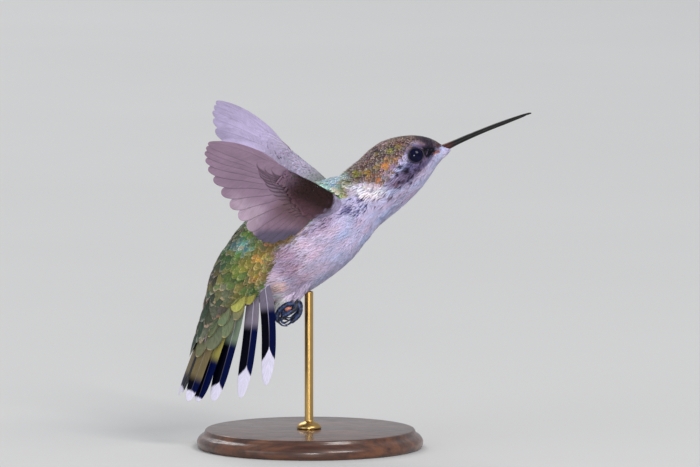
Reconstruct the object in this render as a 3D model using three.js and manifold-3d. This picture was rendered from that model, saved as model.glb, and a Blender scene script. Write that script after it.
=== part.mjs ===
// A life-size ruby-throated hummingbird, a female or young bird, hovering with its bill raised to a flower,
// as a still museum model held up by a plain display stand.
// Millimetres. +X is the way the bird faces, +Y its left side and +Z up.
// The origin is the centre of the stand base's underside.
import * as THREE from "three";
import { mergeVertices } from "three/addons/utils/BufferGeometryUtils.js";
import Module from "manifold-3d";

const wasm = await Module();
wasm.setup();

// ---------------------------------------------------------------- driving dimensions
const GAP = 0.3; // left between solids that meet
const RIGHT = -1; // the sign of Y on the bird's right side
const LEFT = 1;

const BODY_SIDES = 24; // points round a section of the body
const RINGS_A_STATION = 2;

// The body from the bill back to the tail coverts: [x, z] of the back and of the belly, the half width, and how
// far the section is twisted, in degrees, its back towards the bird's right.
const BODY = [
  { back: [24.3, 56.5], belly: [25.2, 54.7], half: 0.95, twist: 0 }, // bill base
  { back: [22.6, 57.4], belly: [24.2, 53.3], half: 2.05, twist: 0 }, // lores
  { back: [20.2, 58.1], belly: [22.8, 51.4], half: 3.75, twist: 0 }, // eyes
  { back: [16.8, 58.0], belly: [20.9, 48.6], half: 4.85, twist: 0 }, // crown
  { back: [12.7, 56.8], belly: [17.8, 45.4], half: 5.0, twist: 0 }, // back of the head
  { back: [9.2, 53.8], belly: [15.2, 43.2], half: 4.8, twist: 0 }, // nape
  { back: [6.1, 50.9], belly: [12.6, 41.1], half: 5.3, twist: 0 }, // neck
  { back: [2.8, 50.1], belly: [10.4, 38.1], half: 6.3, twist: 0 }, // shoulders
  { back: [-1.3, 48.7], belly: [7.4, 34.6], half: 7.1, twist: 0 }, // breast
  { back: [-5.6, 46.8], belly: [3.7, 31.6], half: 7.3, twist: 0 }, // middle of the back
  { back: [-9.7, 44.4], belly: [0.0, 29.1], half: 6.9, twist: 1 }, // belly
  { back: [-13.2, 41.0], belly: [-3.6, 27.2], half: 5.8, twist: 4 }, // vent
  { back: [-16.1, 37.2], belly: [-6.9, 27.0], half: 4.7, twist: 8 }, // rump
  { back: [-18.4, 32.6], belly: [-10.8, 26.8], half: 3.9, twist: 13 }, // root of the tail
  { back: [-19.4, 27.6], belly: [-15.0, 25.2], half: 3.2, twist: 18 }, // tail coverts
  { back: [-20.5, 22.9], belly: [-18.0, 22.0], half: 2.3, twist: 20 }, // end of the coverts
];
const HEAD_ENDS = 5.0; // cuts across the body, as places in that list
const NECK_ENDS = 7.3;
const TRUNK_ENDS = 11.6;

const EYE = { x: 19.3, y: 2.9, z: 54.45, radius: 1.9 };

const BILL = {
  root: [24.75, 55.6],
  length: 17.5,
  rise: 22.1, // degrees above the horizontal
  arch: 0.35, // how far the middle stands above the chord
  lowerShare: 0.94, // the lower mandible ends short of the tip
  parting: 0.06, // half the slit between the mandibles
};
// Along the bill, as shares of its length: half width, height of the upper mandible and of the lower.
const BILL_SECTIONS = [
  { at: 0.0, half: 1.15, upper: 1.0, lower: 0.85 },
  { at: 0.1, half: 0.86, upper: 0.8, lower: 0.66 },
  { at: 0.28, half: 0.66, upper: 0.62, lower: 0.52 },
  { at: 0.6, half: 0.56, upper: 0.55, lower: 0.47 },
  { at: 0.88, half: 0.46, upper: 0.5, lower: 0.42 },
  { at: 1.0, half: 0.24, upper: 0.42, lower: 0.3 },
];

const WING = {
  shoulder: [4.5, 6.8, 46.3], // x, distance from the middle, z
  reach: [-23.2, 38.6, 15.5], // from the shoulder to the tip: x, outwards, z
  chord: [-0.541, 0, -0.841], // from the leading edge to the trailing edge
  camber: 0.8, // how far the middle of the chord stands towards the back of the wing
  camberChord: 14,
  tipDroop: 1.8, // how far the tip bends towards the under side of the wing
  thickness: 0.5,
  shaftThickness: 0.72,
  shingle: 7, // degrees that each feather is turned about its own shaft
};
// The arm with its coverts: span, chord at the middle, half the chord, half the thickness.
const ARM = [
  { span: -2.4, chord: 1.0, half: 1.9, thick: 1.4 },
  { span: 1.5, chord: 1.2, half: 2.7, thick: 1.5 },
  { span: 5.0, chord: 1.4, half: 3.0, thick: 1.3 },
  { span: 9.0, chord: 1.0, half: 2.7, thick: 1.05 },
  { span: 13.0, chord: 0.5, half: 2.1, thick: 0.85 },
  { span: 17.0, chord: -0.2, half: 1.4, thick: 0.65 },
  { span: 20.5, chord: -0.8, half: 0.7, thick: 0.45 },
];
// Places on the wing are [span, chord]. The primaries run from P1, the innermost, to P10 at the leading edge.
const PRIMARIES = {
  count: 10,
  roots: [[9.8, 0.8], [19.2, -0.8]],
  tips: [[20.6, 11.1], [30.4, 8.4], [40.4, 5.3], [46.0, 2.6], [47.6, 0.5]],
  bow: [-0.2, -1.1],
  outer: [1.45, 0.95], // the vane's half widths, from P1 to P10
  inner: [2.6, 1.9],
};
// The secondaries run from S1, next to the primaries, to S6 at the body.
const SECONDARIES = {
  count: 6,
  roots: [[8.6, 1.6], [3.4, 2.6]],
  tips: [[17.8, 11.6], [14.8, 12.1], [11.2, 11.4], [7.3, 8.6]],
  bow: [-0.2, 0.3],
  outer: [1.5, 1.7],
  inner: [2.4, 2.3],
};

const TAIL = {
  root: [-15.4, 0, 33.1],
  lean: 20, // degrees that it leans back from straight down
  twist: 30, // degrees that its upper side is turned to the bird's right
  slope: 18, // degrees that each half droops, as a roof does
  stack: 0.82, // each feather lies this far under its inner neighbour
  thickness: 0.5,
  shaftThickness: 0.62,
};
// Tail feathers from the middle pair outwards. Places are [along the tail, across its half], and the lift is
// how far a root stands out from its place in the stack.
const RECTRICES = [
  { root: [0.5, 1.85], tip: [25.3, 1.95], bow: 0.0, outer: 1.5, inner: 1.5 },
  { root: [0.2, 2.3], tip: [24.7, 3.5], bow: 0.2, outer: 1.6, inner: 1.9 },
  { root: [-0.6, 3.4], tip: [23.5, 6.5], bow: 0.5, outer: 1.5, inner: 2.0 },
  { root: [-1.8, 4.3], tip: [20.9, 11.8], bow: 0.8, outer: 1.5, inner: 1.9 },
  { root: [-3.6, 5.9], tip: [16.8, 15.8], bow: 1.0, outer: 1.55, inner: 1.85, lift: 1.9 },
];

// The feathered thigh, then the bare foot, whose three front toes are clenched over the hind toe.
const THIGH = { top: [-0.6, 2.9, 31.5], end: [-2.5, 2.9, 28.1], topHalf: 1.5, endHalf: 0.75 };
const FOOT = {
  middle: 2.9, // distance of the middle toe from the bird's middle
  shank: [[-2.0, 28.5], [-2.4, 27.8], [-2.6, 27.2]],
  // Each toe: how far it stands outwards, then the x and z places along it. The hind toe is the last.
  toes: [
    { out: -0.95, line: [[-2.6, 27.2], [-3.9, 26.9], [-4.8, 26.0], [-4.9, 24.8], [-4.1, 24.0]] },
    { out: 0.0, line: [[-2.6, 27.2], [-4.3, 26.9], [-5.7, 25.8], [-6.1, 24.4], [-5.3, 23.2], [-4.1, 22.9]] },
    { out: 0.95, line: [[-2.6, 27.2], [-2.7, 26.3], [-3.8, 25.5], [-5.0, 24.8], [-5.2, 23.8], [-4.2, 23.3]] },
    { out: 0.3, line: [[-2.5, 27.2], [-1.8, 26.2], [-2.1, 25.0], [-3.0, 24.1], [-4.0, 23.3]] },
  ],
  root: 0.58, // radii
  claw: 0.3,
};

const STAND = { radius: 21, height: 3.5, rodX: -0.2, rodRadius: 0.8, footRadius: 2.3, footHeight: 1.1 };

// ---------------------------------------------------------------- small helpers
const rad = THREE.MathUtils.degToRad;
const lerp = THREE.MathUtils.lerp;
const vec = (x, y, z) => new THREE.Vector3(x, y, z);

function paint(color, roughness, metalness = 0) {
  return new THREE.MeshStandardMaterial({ color, roughness, metalness, flatShading: true });
}

// Catmull-Rom through a list of numbers, at a place that needn't be whole.
function through(values, place) {
  const i = Math.min(Math.floor(place), values.length - 2);
  const t = place - i;
  const at = (k) => values[THREE.MathUtils.clamp(k, 0, values.length - 1)];
  const [a, b, c, d] = [at(i - 1), at(i), at(i + 1), at(i + 2)];
  return b + 0.5 * t * (c - a + t * (2 * a - 5 * b + 4 * c - d + t * (3 * (b - c) + d - a)));
}

// A curve through [u, v] places, as a function of 0 to 1.
function placesAlong(places) {
  const curve = new THREE.SplineCurve(places.map(([u, v]) => new THREE.Vector2(u, v)));
  return (t) => curve.getPoint(t);
}

// ---------------------------------------------------------------- solids
function signedVolume(points, faces) {
  return faces.reduce((sum, [a, b, c]) => {
    return sum + points[a].dot(new THREE.Vector3().crossVectors(points[b], points[c])) / 6;
  }, 0);
}

// A closed solid skinned over rings of equally many points, with a fan over each end.
function skinOver(rings) {
  const sides = rings[0].length;
  const points = rings.flat();
  const faces = [];
  for (let r = 0; r + 1 < rings.length; r++) {
    for (let i = 0; i < sides; i++) {
      const [a, b] = [r * sides + i, r * sides + ((i + 1) % sides)];
      faces.push([a, b, b + sides], [a, b + sides, a + sides]);
    }
  }
  const last = (rings.length - 1) * sides;
  for (const [start, turned] of [[0, true], [last, false]]) {
    const middle = points.length;
    const ring = points.slice(start, start + sides);
    points.push(ring.reduce((sum, p) => sum.add(p), vec(0, 0, 0)).divideScalar(sides));
    for (let i = 0; i < sides; i++) {
      const [a, b] = [start + i, start + ((i + 1) % sides)];
      faces.push(turned ? [b, a, middle] : [a, b, middle]);
    }
  }
  const facesOut = signedVolume(points, faces) < 0 ? faces.map(([a, b, c]) => [a, c, b]) : faces;
  return new wasm.Manifold(new wasm.Mesh({
    numProp: 3,
    vertProperties: new Float32Array(points.flatMap((p) => p.toArray())),
    triVerts: new Uint32Array(facesOut.flat()),
  }));
}

// A three.js geometry as a solid, for cutting and joining.
function solidOf(geometry, move = vec(0, 0, 0)) {
  const bare = geometry.clone().translate(move.x, move.y, move.z);
  bare.deleteAttribute("normal");
  bare.deleteAttribute("uv");
  const merged = mergeVertices(bare, 1e-4);
  return new wasm.Manifold(new wasm.Mesh({
    numProp: 3,
    vertProperties: new Float32Array(merged.attributes.position.array),
    triVerts: new Uint32Array(merged.index.array),
  }));
}

function joined(solids) {
  return solids.reduce((all, one) => all.add(one));
}

// What is left of a solid outside its neighbours: the largest single piece.
function outside(solid, ...neighbours) {
  const left = neighbours.reduce((rest, one) => rest.subtract(one), solid);
  return left.decompose().reduce((best, one) => (one.volume() > best.volume() ? one : best));
}

const model = new THREE.Group();

function show(name, solid, material) {
  const made = solid.getMesh();
  const geometry = new THREE.BufferGeometry();
  geometry.setAttribute("position", new THREE.BufferAttribute(new Float32Array(made.vertProperties), 3));
  geometry.setIndex(new THREE.BufferAttribute(new Uint32Array(made.triVerts), 1));
  geometry.computeVertexNormals();
  const mesh = new THREE.Mesh(geometry, material);
  mesh.name = name;
  model.add(mesh);
}

// ---------------------------------------------------------------- the body
function bodyRing(place, grow) {
  const [backX, backZ] = [0, 1].map((k) => through(BODY.map((s) => s.back[k]), place));
  const [bellyX, bellyZ] = [0, 1].map((k) => through(BODY.map((s) => s.belly[k]), place));
  const half = through(BODY.map((s) => s.half), place) + grow;
  const twist = rad(through(BODY.map((s) => s.twist), place));
  const middle = vec((backX + bellyX) / 2, 0, (backZ + bellyZ) / 2);
  const up = vec(backX - bellyX, 0, backZ - bellyZ).divideScalar(2);
  const height = up.length() + grow;
  up.normalize();
  const left = vec(0, 1, 0);
  const back = up.clone().multiplyScalar(Math.cos(twist)).addScaledVector(left, RIGHT * Math.sin(twist));
  const side = left.clone().multiplyScalar(Math.cos(twist)).addScaledVector(up, Math.sin(twist));
  return Array.from({ length: BODY_SIDES }, (_, i) => {
    const turn = (i / BODY_SIDES) * 2 * Math.PI;
    return middle.clone()
      .addScaledVector(back, height * Math.cos(turn))
      .addScaledVector(side, half * Math.sin(turn));
  });
}

function bodyBetween(from, to, grow = 0) {
  const steps = Math.round((to - from) * RINGS_A_STATION);
  const rings = Array.from({ length: steps + 1 }, (_, i) => bodyRing(lerp(from, to, i / steps), grow));
  return skinOver(rings);
}

const BODY_END = BODY.length - 1;
const bodyWithRoom = bodyBetween(0, BODY_END, GAP);

// Half a cut, in stations: the sections stand a known way apart at the middle of the body.
function halfCut(place) {
  const middles = [place - 0.5, place + 0.5].map((p) => {
    const ring = bodyRing(p, 0);
    return ring.reduce((sum, q) => sum.add(q), vec(0, 0, 0)).divideScalar(ring.length);
  });
  return GAP / 2 / middles[0].distanceTo(middles[1]);
}

function makeEyeball(side, grow = 0) {
  const ball = new THREE.SphereGeometry(EYE.radius + grow, 16, 10);
  return solidOf(ball, vec(EYE.x, side * EYE.y, EYE.z));
}

function addBody(materials) {
  const sockets = [RIGHT, LEFT].map((side) => makeEyeball(side, GAP / 2));
  const headCut = halfCut(HEAD_ENDS);
  const neckCut = halfCut(NECK_ENDS);
  const trunkCut = halfCut(TRUNK_ENDS);
  show("head", outside(bodyBetween(0, HEAD_ENDS - headCut), ...sockets), materials.head);
  show("neck", bodyBetween(HEAD_ENDS + headCut, NECK_ENDS - neckCut), materials.neck);
  show("trunk", bodyBetween(NECK_ENDS + neckCut, TRUNK_ENDS - trunkCut), materials.trunk);
  show("rump", bodyBetween(TRUNK_ENDS + trunkCut, BODY_END), materials.rump);
  show("eye_right", makeEyeball(RIGHT), materials.eye);
  show("eye_left", makeEyeball(LEFT), materials.eye);
}

// ---------------------------------------------------------------- the bill
const MANDIBLE_SIDES = 8;

// A mandible: half an ellipse above or below the slit, skinned along the bill.
function makeMandible(way, height, share) {
  const rise = rad(BILL.rise);
  const along = vec(Math.cos(rise), 0, Math.sin(rise));
  const up = vec(-Math.sin(rise), 0, Math.cos(rise));
  const root = vec(BILL.root[0], 0, BILL.root[1]).addScaledVector(along, GAP);
  const rings = BILL_SECTIONS.map((section) => {
    const reach = section.at * BILL.length * share;
    const arch = 4 * BILL.arch * section.at * (1 - section.at);
    const middle = root.clone().addScaledVector(along, reach).addScaledVector(up, arch + way * BILL.parting);
    return Array.from({ length: MANDIBLE_SIDES + 1 }, (_, i) => {
      const turn = (i / MANDIBLE_SIDES) * Math.PI;
      return middle.clone()
        .addScaledVector(up, way * section[height] * Math.sin(turn))
        .add(vec(0, section.half * Math.cos(turn), 0));
    });
  });
  return skinOver(rings);
}

function addBill(materials) {
  show("bill_upper", makeMandible(1, "upper", 1), materials.bill);
  show("bill_lower", makeMandible(-1, "lower", BILL.lowerShare), materials.bill);
}

// ---------------------------------------------------------------- flight feathers
// How full a vane is along its shaft: narrow at the quill, and rounded off at the tip.
function fullness(t) {
  const quill = Math.min(1, 0.35 + t / 0.45);
  const tipShare = Math.max(0, (t - 0.84) / 0.16);
  return quill * Math.sqrt(Math.max(0.03, 1 - tipShare * tipShare));
}

const BLADE_STEPS = [0, 0.2, 0.5, 0.82, 0.94, 1];

// A feather as a thin blade. place(u, v, height) turns a place on the wing or tail into a point.
function makeBlade({ root, tip, bow, outer, inner, tilt, edge, shaft, lift = 0, grow = 0 }, place) {
  const run = new THREE.Vector2(tip[0] - root[0], tip[1] - root[1]);
  const across = new THREE.Vector2(-run.y, run.x).normalize();
  const rings = BLADE_STEPS.map((t) => {
    const reach = lerp(grow ? -0.02 : 0, grow ? 1.02 : 1, t);
    const u = root[0] + run.x * reach + across.x * bow * 4 * t * (1 - t);
    const v = root[1] + run.y * reach + across.y * bow * 4 * t * (1 - t);
    const at = (offset, height) => {
      const stand = height + tilt * offset + lift * (1 - t) * (1 - t);
      return place(u + across.x * offset, v + across.y * offset, stand);
    };
    const [near, far] = [-(outer * fullness(t) + grow), inner * fullness(t) + grow];
    const [rim, spine] = [edge / 2 + grow, shaft - edge / 2 + grow];
    return [at(near, rim), at(0, spine), at(far, rim), at(far, -rim), at(near, -rim)];
  });
  return skinOver(rings);
}

// ---------------------------------------------------------------- the wings
function wingFrame(side) {
  const reach = vec(WING.reach[0], side * WING.reach[1], WING.reach[2]);
  const span = reach.clone().normalize();
  const chord = vec(...WING.chord);
  chord.addScaledVector(span, -chord.dot(span)).normalize();
  const back = new THREE.Vector3().crossVectors(span, chord).multiplyScalar(side);
  const shoulder = vec(WING.shoulder[0], side * WING.shoulder[1], WING.shoulder[2]);
  return (a, b, height) => {
    const chordShare = THREE.MathUtils.clamp((b + 2) / WING.camberChord, 0, 1);
    const camber = WING.camber * Math.sin(Math.PI * chordShare);
    const droop = WING.tipDroop * Math.pow(Math.max(a, 0) / reach.length(), 2);
    return shoulder.clone()
      .addScaledVector(span, a)
      .addScaledVector(chord, b)
      .addScaledVector(back, height + camber - droop);
  };
}

const ARM_SIDES = 14;

function makeArm(place, grow = 0) {
  const rings = ARM.map(({ span, chord, half, thick }) => {
    return Array.from({ length: ARM_SIDES }, (_, i) => {
      const turn = (i / ARM_SIDES) * 2 * Math.PI;
      return place(span, chord + (half + grow) * Math.cos(turn), (thick + grow) * Math.sin(turn));
    });
  });
  return skinOver(rings);
}

function makeFan(feathers, place, grow = 0) {
  const tips = placesAlong(feathers.tips);
  const blades = Array.from({ length: feathers.count }, (_, i) => {
    const t = i / (feathers.count - 1);
    const share = ([first, last]) => lerp(first, last, t);
    const tip = tips(t);
    return makeBlade({
      root: [0, 1].map((k) => lerp(feathers.roots[0][k], feathers.roots[1][k], t)),
      tip: [tip.x, tip.y],
      bow: share(feathers.bow),
      outer: share(feathers.outer),
      inner: share(feathers.inner),
      tilt: -Math.tan(rad(WING.shingle)),
      edge: WING.thickness,
      shaft: WING.shaftThickness,
      grow,
    }, place);
  });
  return joined(blades);
}

function addWing(side, label, materials) {
  const place = wingFrame(side);
  const armWithRoom = makeArm(place, GAP);
  const primariesWithRoom = makeFan(PRIMARIES, place, GAP);
  show(`wing_${label}_arm`, outside(makeArm(place), bodyWithRoom), materials.arm);
  show(`wing_${label}_primaries`, outside(makeFan(PRIMARIES, place), armWithRoom), materials.flight);
  const secondaries = outside(makeFan(SECONDARIES, place), armWithRoom, primariesWithRoom, bodyWithRoom);
  show(`wing_${label}_secondaries`, secondaries, materials.flight);
}

// ---------------------------------------------------------------- the tail
// The frame of one half of the tail: along it, outwards across it, and the height above it.
function tailFrame(side) {
  const lean = rad(TAIL.lean);
  const along = vec(-Math.sin(lean), 0, -Math.cos(lean));
  const turn = rad(TAIL.slope - side * TAIL.twist);
  const back = vec(-Math.cos(lean), 0, Math.sin(lean));
  const across = vec(0, side * Math.cos(turn), 0).addScaledVector(back, -Math.sin(turn));
  const up = back.clone().multiplyScalar(Math.cos(turn)).add(vec(0, side * Math.sin(turn), 0));
  return (u, v, height) => vec(...TAIL.root)
    .addScaledVector(along, u)
    .addScaledVector(across, v)
    .addScaledVector(up, height);
}

function addTail(side, label, materials) {
  const place = tailFrame(side);
  RECTRICES.forEach((feather, i) => {
    const blade = makeBlade({
      ...feather,
      outer: feather.inner, // the vane on the side towards the middle of the tail is the broad one
      inner: feather.outer,
      tilt: 0,
      edge: TAIL.thickness,
      shaft: TAIL.shaftThickness,
    }, (u, v, height) => place(u, v, height - TAIL.stack * i));
    show(`tail_feather_${label}_${i + 1}`, outside(blade, bodyWithRoom), materials.tail[i]);
  });
}

// ---------------------------------------------------------------- legs and feet
const TOE_SIDES = 6;
const TOE_STEPS = 7;

// A tube along a curve that narrows from one radius to another.
function makeTaper(curve, steps, from, to, sides = TOE_SIDES) {
  const frames = curve.computeFrenetFrames(steps, false);
  const rings = Array.from({ length: steps + 1 }, (_, i) => {
    const middle = curve.getPointAt(i / steps);
    const radius = lerp(from, to, i / steps);
    return Array.from({ length: sides }, (_, k) => {
      const turn = (k / sides) * 2 * Math.PI;
      return middle.clone()
        .addScaledVector(frames.normals[i], radius * Math.cos(turn))
        .addScaledVector(frames.binormals[i], radius * Math.sin(turn));
    });
  });
  return skinOver(rings);
}

function makeThigh(side, grow = 0) {
  const top = vec(THIGH.top[0], side * THIGH.top[1], THIGH.top[2]);
  const end = vec(THIGH.end[0], side * THIGH.end[1], THIGH.end[2]);
  return makeTaper(new THREE.LineCurve3(top, end), 3, THIGH.topHalf + grow, THIGH.endHalf + grow, 12);
}

function makeFoot(side) {
  const curveOf = (line, out) => new THREE.CatmullRomCurve3(line.map(([x, z], i) => {
    const spread = out * Math.min(1, i / 2);
    return vec(x, side * (FOOT.middle + spread), z);
  }));
  const toes = FOOT.toes.map(({ out, line }) => makeTaper(curveOf(line, out), TOE_STEPS, FOOT.root, FOOT.claw));
  const shank = makeTaper(curveOf(FOOT.shank, 0), 3, FOOT.root, FOOT.root + 0.1);
  return joined([shank, ...toes]);
}

function addLeg(side, label, materials) {
  show(`leg_${label}`, outside(makeThigh(side), bodyWithRoom), materials.thigh);
  const thighWithRoom = makeThigh(side, GAP);
  show(`foot_${label}`, outside(makeFoot(side), thighWithRoom, bodyWithRoom), materials.foot);
}

// ---------------------------------------------------------------- the display stand
function latheOf(profile, segments) {
  return new THREE.LatheGeometry(profile.map(([r, z]) => new THREE.Vector2(r, z)), segments).rotateX(Math.PI / 2);
}

function addStand(materials) {
  const { radius, height } = STAND;
  const disc = [[0, 0], [radius - 0.5, 0], [radius, 0.5], [radius, 1.5], [radius - 0.5, 2.2],
    [radius - 1.3, 2.7], [radius - 1.6, height], [0, height]];
  show("stand_base", solidOf(latheOf(disc, 36)), materials.base);
  const above = 40; // longer than the rod is: the body cuts it off
  const rod = [[0, 0], [STAND.footRadius, 0], [STAND.footRadius, 0.5], [STAND.footRadius - 0.6, STAND.footHeight],
    [STAND.rodRadius, STAND.footHeight + 0.3], [STAND.rodRadius, above], [0, above]];
  const raised = solidOf(latheOf(rod, 20), vec(STAND.rodX, 0, height));
  const lowest = raised.subtract(bodyWithRoom).decompose().reduce((low, one) => {
    return one.boundingBox().min[2] < low.boundingBox().min[2] ? one : low;
  });
  show("stand_rod", lowest, materials.rod);
}

// ---------------------------------------------------------------- the model
const MATERIALS = {
  head: paint(0x7a6a3c, 0.55),
  neck: paint(0xcfcadb, 0.85),
  trunk: paint(0xc9c0d4, 0.85),
  rump: paint(0x6f8a3a, 0.5),
  eye: paint(0x08080c, 0.05),
  bill: paint(0x17151a, 0.35),
  arm: paint(0x6a5a58, 0.7),
  flight: paint(0x6b5a66, 0.6),
  thigh: paint(0xd8d4de, 0.9),
  foot: paint(0x1b2230, 0.5),
  tail: [0x8a8a3a, 0x5c7a44, 0x16233f, 0x10172c, 0x14101f].map((color) => paint(color, 0.5)),
  base: paint(0x3a2417, 0.4),
  rod: paint(0xb08a4a, 0.3, 1),
};

addBody(MATERIALS);
addBill(MATERIALS);
for (const [side, label] of [[RIGHT, "right"], [LEFT, "left"]]) {
  addWing(side, label, MATERIALS);
  addTail(side, label, MATERIALS);
  addLeg(side, label, MATERIALS);
}
addStand(MATERIALS);

export default model;
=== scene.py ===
"""The looks of a life-size ruby-throated hummingbird on its display stand, for Blender 4.5.

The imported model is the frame. One skin replaces the solids of flesh, a coat of small feathers grows on it as
solid mesh, and flight feathers, bill, eyes, feet and stand are modelled in the places of their solids, apart
from the tail feathers' roots that LEFT_ROOTS moves.
Sizes are in millimetres, and a mesh is scaled to metres when it is made.
+X is the way the bird faces, +Y its left side and +Z up.
"""
import itertools
import math
from functools import partial

import bpy
import numpy as np
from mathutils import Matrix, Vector
from mathutils.bvhtree import BVHTree


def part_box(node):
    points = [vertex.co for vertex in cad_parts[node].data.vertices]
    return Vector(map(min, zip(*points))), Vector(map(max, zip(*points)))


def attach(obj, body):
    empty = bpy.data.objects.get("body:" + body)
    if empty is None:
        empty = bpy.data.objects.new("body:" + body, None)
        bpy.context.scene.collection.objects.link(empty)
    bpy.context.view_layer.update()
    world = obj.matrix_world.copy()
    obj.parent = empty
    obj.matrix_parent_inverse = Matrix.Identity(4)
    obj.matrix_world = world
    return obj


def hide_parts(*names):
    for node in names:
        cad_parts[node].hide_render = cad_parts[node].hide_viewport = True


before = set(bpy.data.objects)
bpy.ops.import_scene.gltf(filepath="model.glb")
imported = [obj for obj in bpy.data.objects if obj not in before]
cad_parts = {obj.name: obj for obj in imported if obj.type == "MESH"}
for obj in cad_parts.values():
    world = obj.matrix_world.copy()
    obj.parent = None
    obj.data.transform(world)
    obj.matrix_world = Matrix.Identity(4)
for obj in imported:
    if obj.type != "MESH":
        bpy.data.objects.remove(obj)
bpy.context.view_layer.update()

MM = 0.001
RIGHT = -1  # the sign of Y on the bird's right side
LEFT = 1
SIDES = ((RIGHT, "right"), (LEFT, "left"))
LEFTWARDS = np.array([0.0, 1.0, 0.0])
# The solids that the skin replaces: those of the body, and its limbs.
FLESH = ("head", "neck", "trunk", "rump")
LIMBS = ("leg_right", "leg_left", "wing_right_arm", "wing_left_arm")
rng = np.random.default_rng(20)

# ---------------------------------------------------------------- driving sizes, as the solids have them
# The middle line of head, neck, trunk and rump, from the bill's root to the tail coverts: x, z.
SPINE = ((25.0, 55.7), (21.3, 54.8), (15.4, 51.2), (9.2, 46.1), (2.0, 41.0), (-6.5, 35.6), (-13.2, 31.0),
         (-17.2, 26.6), (-19.4, 22.2))
BODY_ROWS = 150
BODY_COLUMNS = 108
BODY_REACH = 14.0  # how far a ray looks for the surface from the spine
BODY_MEDIAN = 7  # rows whose median mends a ray that slipped into a cut between two solids
SOCKET_MARGIN = 9  # a socket's curve is fitted to the rows that are nearer to it than this
SOCKET_CURVE = 3  # the degree of that curve
EYE_SOCKET = 2.25  # how far from an eye's middle its socket spoils the surface of the head
TAIL_ROWS = 10  # rows that carry the surface on over the roots of the tail feathers
TAIL_ROW_STEP = 0.5
TAIL_AXIS = np.array([-0.342, 0.0, -0.940])
BILL_ROWS = 6  # rows that carry it on over the root of the bill
BILL_ROW_STEP = 0.17
BILL_AXIS = np.array([0.927, 0.0, 0.376])

EYE_MIDDLE = np.array([19.58, 4.25, 54.80])  # of the left eye's opening between the lids
EYE_OPENING = 1.28  # its radius
EYE_FLATNESS = 0.88  # the eyeball's depth beside its width
EYE_TURN = math.radians(12.5)  # how far the eyes look ahead
EYE_LIFT = math.radians(10)  # how far they look up
EYE_RIM = 1.45  # round the opening the face lies level with the lids as far as this
EYE_FACE = 3.0  # and further out it runs into the head's own shape
LID_WIDTH = 0.16
BILL_ROOT = (24.75, 55.6)
BILL_LENGTH = 17.5
BILL_RISE = math.radians(22.1)
BILL_ARCH = 0.35
BILL_LOWER_SHARE = 0.94

WING_SHOULDER = (4.5, 6.8, 46.3)  # x, distance from the middle, z
WING_REACH = (-23.2, 38.6, 15.5)  # from the shoulder to the tip
WING_LENGTH = math.hypot(*WING_REACH)
WING_CHORD = (-0.541, 0.0, -0.841)
WING_CAMBER = 0.8
WING_CAMBER_CHORD = 14.0
WING_TIP_DROOP = 1.8
WING_SHINGLE = math.radians(3.2)
# The arm: span, chord at the middle, half the chord, half the thickness.
ARM = np.array([(-2.4, 1.0, 1.9, 1.4), (1.5, 1.2, 2.7, 1.5), (5.0, 1.4, 3.0, 1.3), (9.0, 1.0, 2.7, 1.05),
                (13.0, 0.5, 2.1, 0.85), (17.0, -0.2, 1.4, 0.65), (20.5, -0.8, 0.7, 0.45)])
PRIMARIES = {
    "count": 10, "roots": ((9.8, 0.8), (19.2, -0.8)),
    "tips": ((20.6, 11.1), (30.4, 8.4), (40.4, 5.3), (46.0, 2.6), (47.6, 0.5)),
    "bow": (-0.2, -1.1), "outer": (1.45, 0.95), "inner": (2.7, 2.0),
    "taper": ((0.76, 2.0), (0.58, 1.7)),
}
SECONDARIES = {
    "count": 6, "roots": ((8.6, 1.6), (3.4, 2.6)),
    "tips": ((17.8, 11.6), (14.8, 12.1), (11.2, 11.4), (7.3, 8.6)),
    "bow": (-0.2, 0.3), "outer": (1.5, 1.7), "inner": (2.4, 2.3),
    "taper": ((0.76, 2.0), (0.74, 2.0)),
}

TAIL_ROOT = np.array([-15.4, 0.0, 33.1])
TAIL_LEAN = math.radians(20)
TAIL_TWIST = math.radians(30)
TAIL_SLOPE = math.radians(18)
TAIL_STACK = 0.82
# Root and tip as places along and across the tail, bow, the half widths towards its middle and away from it,
# and the root's lift.
RECTRICES = (
    ((0.5, 1.85), (25.3, 1.95), 0.0, 1.5, 1.5, 0.0),
    ((0.2, 2.3), (24.7, 3.5), 0.2, 1.9, 1.6, 0.0),
    ((-0.6, 3.4), (23.5, 6.5), 0.5, 2.0, 1.5, 0.0),
    ((-1.8, 4.3), (20.9, 11.8), 0.8, 1.9, 1.5, 0.0),
    ((-3.6, 5.9), (16.8, 15.8), 1.0, 1.85, 1.55, 1.9),
)

# ---------------------------------------------------------------- camera, lights and floor
CAMERA_AIM = Vector((7.41, 0.0, 39.88)) * MM
CAMERA_DISTANCE = 1.6
CAMERA_DOWN = math.radians(5.5)
CAMERA_LENS = 444.4
# Each light: its name, its place and width in metres, its power and its colour.
LIGHTS = (
    ("key", (1.0, -1.3, 1.5), 0.8, 23.0, (1.0, 0.98, 0.97)),
    ("flash", (0.05, -1.45, 0.30), 0.30, 6.5, (1, 1, 1)),
    ("fill", (-1.5, -1.1, 0.6), 1.2, 5.5, (0.95, 0.97, 1.0)),
    ("back", (-0.7, 1.5, 1.4), 0.9, 13.0, (1, 1, 1)),
)
STUDIO_COLOUR = (0.93, 0.95, 1.0, 1)
STUDIO_LIGHT = 0.52


def make_camera():
    camera = bpy.data.cameras.new("camera")
    camera.lens = CAMERA_LENS
    camera.clip_end = 100
    seen = bpy.data.objects.new("camera", camera)
    away = Vector((0, -math.cos(CAMERA_DOWN), math.sin(CAMERA_DOWN)))
    seen.location = CAMERA_AIM + away * CAMERA_DISTANCE
    seen.rotation_euler = (math.pi / 2 - CAMERA_DOWN, 0, 0)
    bpy.context.scene.collection.objects.link(seen)
    bpy.context.scene.camera = seen


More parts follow.
